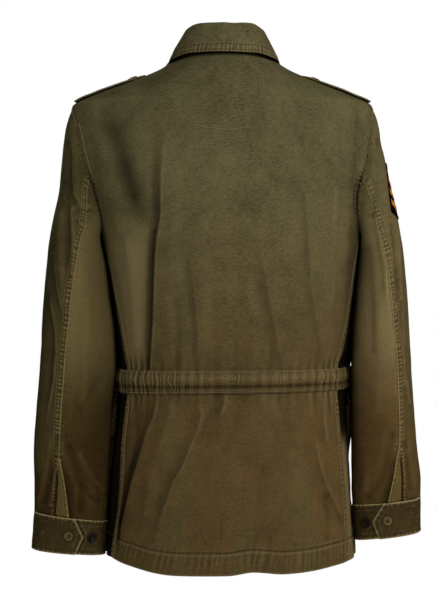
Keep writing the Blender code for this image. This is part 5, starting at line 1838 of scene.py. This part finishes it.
def sleeve_band(side, seam_at, seam):
    down = np.linspace(0.004, 1, round(0.6 / BAND_STEP))
    towards = np.array([side * 0.6, 0.0, -0.35])
    places = in_from(partial(sleeve, side), seam_at(side, down), down, towards, SLEEVE_BAND)
    cloth = partial(sleeve_cloth, side)
    band = felled_band(cloth, *places, SLEEVE_BAND, seam, seam_worn=0.95)
    if seam_at is back_seam:
        # painted shade in the open slit above the cuff, in place of the pale worn edge
        away = np.linspace(0, SLEEVE_BAND, places[0].shape[1])
        slit = step_up(places[1], VENT_TOP + 0.015, VENT_TOP + 0.06)
        band.wear_and_highlight *= 1 - slit
        band.shade += 0.95 * slit * (1 - step_up(away, 0.0030, 0.0048))
    return band


UNDER_HIGHLIGHT = 0.40  # how much paler a painted highlight makes the under sleeve beside the body


def make_sleeve(side):
    word = WORDS[side]
    at_back = sleeve_seam(side, back_seam, 1.0)
    at_front = sleeve_seam(side, front_seam, 3.0)
    seams = (at_back, at_front)
    upper = sleeve_panel(side, front_seam, back_seam, 96, seams)
    under = sleeve_panel(side, back_seam, partial(front_seam, rounds=1), 62, seams)
    under.wear_and_highlight += UNDER_HIGHLIGHT * span(-under.points[..., 2], (0.20, 0.26), (0.40, 0.54))
    finish = SLEEVE_SATEEN[side]
    pieces = [
        panel.make(f"sleeve_{name}_cloth_{word}", finish, "cloth", [f"sleeve_{name}_{word}"])
        for name, panel in (("upper", upper), ("under", under))
    ]
    runs = []
    for place, seam_at, seam in (("back", back_seam, at_back), ("front", front_seam, at_front)):
        band = sleeve_band(side, seam_at, seam)
        runs += band.stitch_runs()
        pieces.append(band.make(f"sleeve_{place}_band_{word}", finish, "cloth"))
    pieces.append(stitches(f"sleeve_stitches_{word}", runs))
    return pieces


def make_vent_flap(side):
    """The folded edge of the slit above the cuff, which stands off the sleeve."""
    word = WORDS[side]
    down = np.linspace(VENT_TOP, VENT_BOTTOM, 46)[:, None]
    share = (down - VENT_TOP) / (1 - VENT_TOP)
    across = np.linspace(0, 1, 15)
    cuff_row = SLEEVE[side][-1]
    half = (cuff_row[0] - cuff_row[3]) * side / 2
    width = (VENT_TIP_WIDTH + VENT_WIDTH * share) / half
    angle = back_seam(side, down) + width * across
    lift = LIE + VENT_LIFT * share * across + CLOTH
    flap = Cloth(sleeve_cloth(side, angle, down + 0 * angle, lift))
    flap.wear_and_highlight += 0.10
    flap.turned_edge("last", 0.0030, seed=2.0 + side, depth=0.00015)
    piece = flap.make(f"vent_flap_cloth_{word}", FACING_SATEEN, "cloth", [f"vent_flap_{word}"])
    return [piece, stitches(f"vent_flap_stitches_{word}", flap.stitch_runs())]


def make_cuff(side):
    word = WORDS[side]
    down = np.linspace(0, 1, 31)[:, None]
    last = np.interp(down, CUFF_END_HEIGHTS, CUFF_POINT[side])
    degrees = CUFF_START + (last - CUFF_START) * np.linspace(0, 1, 300)
    rises_from, over = CUFF_LIFT_DEGREES
    lift = CUFF_OVERLAP_LIFT[side] * step_up(degrees, rises_from, rises_from + over)
    place = CUFF_CLEAR + down * (1 - CUFF_CLEAR)
    points, out = cuff_cloth(side, np.radians(degrees), place, lift)
    rise = rumple(points, 0.024, 0.0009) + rumple(points + 5, 0.010, 0.0003)
    cuff = Cloth((points + out * rise[..., None], out), DOUBLE)
    mark_hidden_button(cuff, side, degrees > 300)
    # painted shadow that the overlapping end casts on the cuff beneath it
    under_end = CUFF_OVERLAP_LIFT[side] / CUFF_OVERLAP_LIFT[-1]
    past = np.linalg.norm(cuff.points[:, :60] - cuff.edge("last")[:, None], axis=2)
    cuff.shade[:, :60] += 0.95 * under_end * hump(past, 0.0, 0.0026)
    for edge, seed in (("top", 1.0), ("bottom", 2.0), ("last", 3.0)):
        cuff.turned_edge(edge, 0.0050, seed=seed + side, depth=0.0004, wear_and_highlight=1.0, fine=0.3)
    piece = cuff.make(f"cuff_cloth_{word}", CUFF_SATEEN, "shaded_cloth", [f"cuff_{word}"])
    return [piece, stitches(f"cuff_stitches_{word}", cuff.stitch_runs(), DARK_THREAD)]


def mark_hidden_button(cuff, side, on_top):
    """The disc that the button under the cuff's overlapping end presses into it."""
    angle = np.radians(HIDDEN_BUTTON_ANGLE[side])
    hidden = cuff_cloth(side, angle, np.array(0.5), CUFF_OVERLAP_LIFT[side])[0]
    away = np.linalg.norm(cuff.points - hidden, axis=2)
    cuff.rise += 0.0009 * on_top * (1 - step_up(away, 0.0050, 0.0078))
    # painted shade round the disc's edge, and a rubbed ring inside it
    cuff.shade += 0.22 * on_top * hump(away, 0.0078, 0.0014)
    cuff.wear_and_highlight += 0.06 * on_top * hump(away, 0.0056, 0.0012)


# ---- Buttons and badge ----------------------------------------------------------------------


BUTTON_PROFILE = (
    # radius and height in millimetres, from the middle of the underside
    (1.0, 0.0), (6.4, 0.0), (7.1, 0.35), (7.5, 1.1), (7.45, 1.9), (7.1, 2.5), (6.6, 2.75),
    (6.0, 2.7), (5.5, 2.25), (5.0, 1.95), (3.5, 1.75), (1.0, 1.7),
)
HOLE_APART = 0.00155
HOLE_RADIUS = 0.00085


def button_shape():
    """A four-hole button on the origin, its holes cut right through."""
    profile = np.array(BUTTON_PROFILE) / 1000
    button = placed("button", mesh_of("button", *lathed(profile, 44)))
    for x, y in ((-1, -1), (-1, 1), (1, -1), (1, 1)):
        points, faces = lathed(((HOLE_RADIUS, -0.001), (HOLE_RADIUS, 0.004)), 14)
        points += np.array([x, y, 0]) * HOLE_APART
        cutter = placed("hole", mesh_of("hole", points, faces))
        hole = button.modifiers.new("hole", "BOOLEAN")
        hole.object = cutter
        hole.solver = "EXACT"
        whole = button.evaluated_get(bpy.context.evaluated_depsgraph_get())
        button.data = bpy.data.meshes.new_from_object(whole)
        button.modifiers.clear()
        bpy.data.objects.remove(cutter)
    result = button.data
    bpy.data.objects.remove(button)
    return result


def button_threads():
    """Threads that cross between the holes, in the button's own frame."""
    found = []
    for slip in (-0.0003, 0.0, 0.0003):
        for start, end in (((-1, -1), (1, -1)), ((-1, 1), (1, 1))):
            share = np.linspace(0, 1, 9)
            x = HOLE_APART * (start[0] + (end[0] - start[0]) * share)
            y = HOLE_APART * start[1] + slip + 0 * share
            z = 0.0012 + 0.0011 * np.sin(np.pi * share) ** 0.5
            found.append(tube(np.stack([x, y, z], axis=1), 0.0002))
    return found


BUTTON_SHAPE = button_shape()


def make_button(name, centre, out):
    """Dress a packed button that is centred there and faces out."""
    frame_of = np.array(Vector(out).to_track_quat("Z", "Y").to_matrix())
    base = centre - out * BUTTON_THICK / 2
    mesh = BUTTON_SHAPE.copy()
    points = np.empty(len(mesh.vertices) * 3)
    mesh.vertices.foreach_get("co", points)
    points = points.reshape(-1, 3) @ frame_of.T + base
    mesh.vertices.foreach_set("co", points.ravel())
    mesh.materials.clear()
    mesh.materials.append(BUTTON_FINISH)
    mesh.shade_smooth()
    mesh.set_sharp_from_angle(angle=math.radians(50))
    mesh.name = name
    place_piece(f"{name}_disc", mesh, [name])
    threads = [(points @ frame_of.T + base, faces) for points, faces in button_threads()]
    joined(f"{name}_thread", threads, DARK_THREAD)


def place_buttons():
    half = BUTTON_THICK / 2
    for number in range(FRONT_BUTTONS):
        height = np.array(FRONT_BUTTON_TOP - FRONT_BUTTON_PITCH * number)
        place = body_cloth(np.array(1.0), height, LIE + CLOTH + LIE + half)
        make_button(f"front_button_{number + 1}", *place)
    for side, word in WORDS.items():
        at = STRAP_INNER + STRAP_BUTTON_IN
        place = shoulder_place(side, np.array(at), np.array(SHOULDER_Y))
        share = (STRAP_OUTER[side] - at) / (STRAP_OUTER[side] - STRAP_INNER + STRAP_POINT)
        rise = strap_lift(share) + STRAP_THICK + STRAP_BUTTON_RISE
        make_button(f"strap_button_{word}", *body_cloth(*place, rise))
        angle = np.array(np.radians(CUFF_BUTTON_ANGLE[side]))
        place = cuff_cloth(side, angle, np.array(0.5), CUFF_BUTTON_LIE + half)
        make_button(f"cuff_button_{word}", *place)


def badge_place(across, down_it, lift):
    """Places on the badge: across from -1 to 1, and down it from 0 to 1."""
    middle = BADGE_MIDDLE[0] + (BADGE_MIDDLE[1] - BADGE_MIDDLE[0]) * down_it
    angle = np.radians(middle + across * BADGE_HALF_DEGREES)
    height = BADGE_TOP - BADGE_HEIGHT * down_it - BADGE_DROP * (1 - np.abs(across))
    low, high = np.zeros(height.shape), np.ones(height.shape)
    for _ in range(30):
        down = (low + high) / 2
        above = sleeve(-1, angle, down)[..., 2] > height
        low, high = np.where(above, down, low), np.where(above, high, down)
    return sleeve_cloth(-1, angle, down, lift)


def make_badge():
    """A chevron badge on the outer side of the right sleeve."""
    across = np.linspace(-1, 1, 61) + np.zeros((49, 1))
    down_it = np.linspace(0, 1, 49)[:, None] + 0 * across
    field = Cloth(badge_place(across, down_it, BADGE_LIES), BADGE_LIES + SUNK)
    edge = np.minimum(1 - np.abs(across), np.minimum(down_it, 1 - down_it))
    field.rise += BADGE_RIM * (1 - step_up(edge, 0.035, 0.060))
    pieces = [field.make("sleeve_badge_field", BADGE_FIELD, "badge", ["sleeve_badge"])]
    across = np.linspace(-CHEVRON_REACH, CHEVRON_REACH, 81) + np.zeros((11, 1))
    width = np.linspace(-0.5, 0.5, 11)[:, None]
    for number, middle in enumerate(CHEVRONS):
        down_it = CHEVRON_STEEP * (1 - np.abs(across)) + middle + width * CHEVRON_WIDTH
        band = Cloth(badge_place(across, down_it, BADGE_LIES + 0.0004), 0.0006)
        band.rise += 0.0003 * np.cos(np.pi * width)
        pieces.append(band.make(f"badge_chevron_{number + 1}", BADGE_GOLD, "badge"))
    return pieces


# ---- The whole jacket -----------------------------------------------------------------------


def make_jacket():
    """Every piece of the jacket, and its buttons."""
    back, *others = make_back()
    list(others)
    for side, word in WORDS.items():
        panel, *others = make_front(side)
        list(others)
        strap, *others = make_strap(side)
        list(others)
        pocket, flap, *others = make_pocket(side)
        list(others)
        upper, under, *others = make_sleeve(side)
        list(others)
        vent, *others = make_vent_flap(side)
        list(others)
        cuff, *others = make_cuff(side)
        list(others)
    band, *others = make_front_band()
    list(others)
    casing, *others = make_casing()
    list(others)
    stand, fall, *others = make_collar()
    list(others)
    field, *others = make_badge()
    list(others)
    place_buttons()


make_jacket()


# ---- Camera, floor and light ----------------------------------------------------------------

FLOOR_Z = -1.45


def add_camera():
    data = bpy.data.cameras.new("camera")
    data.sensor_width = data.sensor_height = 36.0
    data.sensor_fit = "VERTICAL"
    data.lens = FOCAL / VIEW[1] * data.sensor_height
    data.clip_end = 50
    camera = placed("camera", data)
    camera.location = EYE
    camera.rotation_euler = (math.radians(90), 0, math.radians(180))
    bpy.context.scene.camera = camera


def add_floor():
    points, faces = lathed(((0.5, 0.0), (3.0, 0.0), (3.0, -0.01), (0.5, -0.01)), 96)
    finish = Finish("pale floor", 0.9)
    cloudy = finish.cloudy(finish.place(), 2.0)
    finish.colour(finish.mix(cloudy, rgb(236, 236, 234), rgb(228, 228, 226)))
    mesh = mesh_of("floor", points + np.array([0, 0, FLOOR_Z]), faces, finish.material)
    mesh.shade_flat()
    floor = placed("floor", mesh)


def add_area(name, place, towards, size, power, colour):
    data = bpy.data.lights.new(name, "AREA")
    data.shape = "DISK"
    data.size = size
    data.energy = power
    data.color = colour
    light = placed(name, data)
    light.location = place
    light.rotation_euler = (Vector(towards) - Vector(place)).to_track_quat("-Z", "Y").to_euler()


def add_world(ambient):
    """White to the eye, and a soft dimmer light on the jacket."""
    world = bpy.data.worlds.new("studio")
    bpy.context.scene.world = world
    world.use_nodes = True
    tree = world.node_tree
    tree.nodes.clear()
    output = tree.nodes.new("ShaderNodeOutputWorld")
    path = tree.nodes.new("ShaderNodeLightPath")
    mix = tree.nodes.new("ShaderNodeMixShader")
    for socket, colour, strength in ((1, (1.0, 0.99, 0.99, 1), ambient), (2, (1, 1, 1, 1), 1.0)):
        light = tree.nodes.new("ShaderNodeBackground")
        light.inputs["Color"].default_value = colour
        light.inputs["Strength"].default_value = strength
        tree.links.new(light.outputs[0], mix.inputs[socket])
    tree.links.new(path.outputs["Is Camera Ray"], mix.inputs[0])
    tree.links.new(mix.outputs[0], output.inputs["Surface"])


add_camera()
add_floor()
add_area("key", (-0.80, 2.05, 0.50), (0, 0.1, -0.30), 0.9, 38, (1.0, 0.975, 0.96))
add_area("side key", (-2.3, 0.75, 0.10), (-0.2, 0, -0.35), 0.7, 27, (1.0, 0.975, 0.96))
add_area("fill", (1.5, 1.9, 0.2), (0, 0, -0.35), 1.2, 14, (1.0, 0.98, 0.97))
add_area("front key", (0.9, -2.2, 0.9), (0, 0, -0.3), 1.0, 90, (1.0, 0.98, 0.95))
add_world(0.055)
bpy.context.scene.view_settings.view_transform = "Standard"
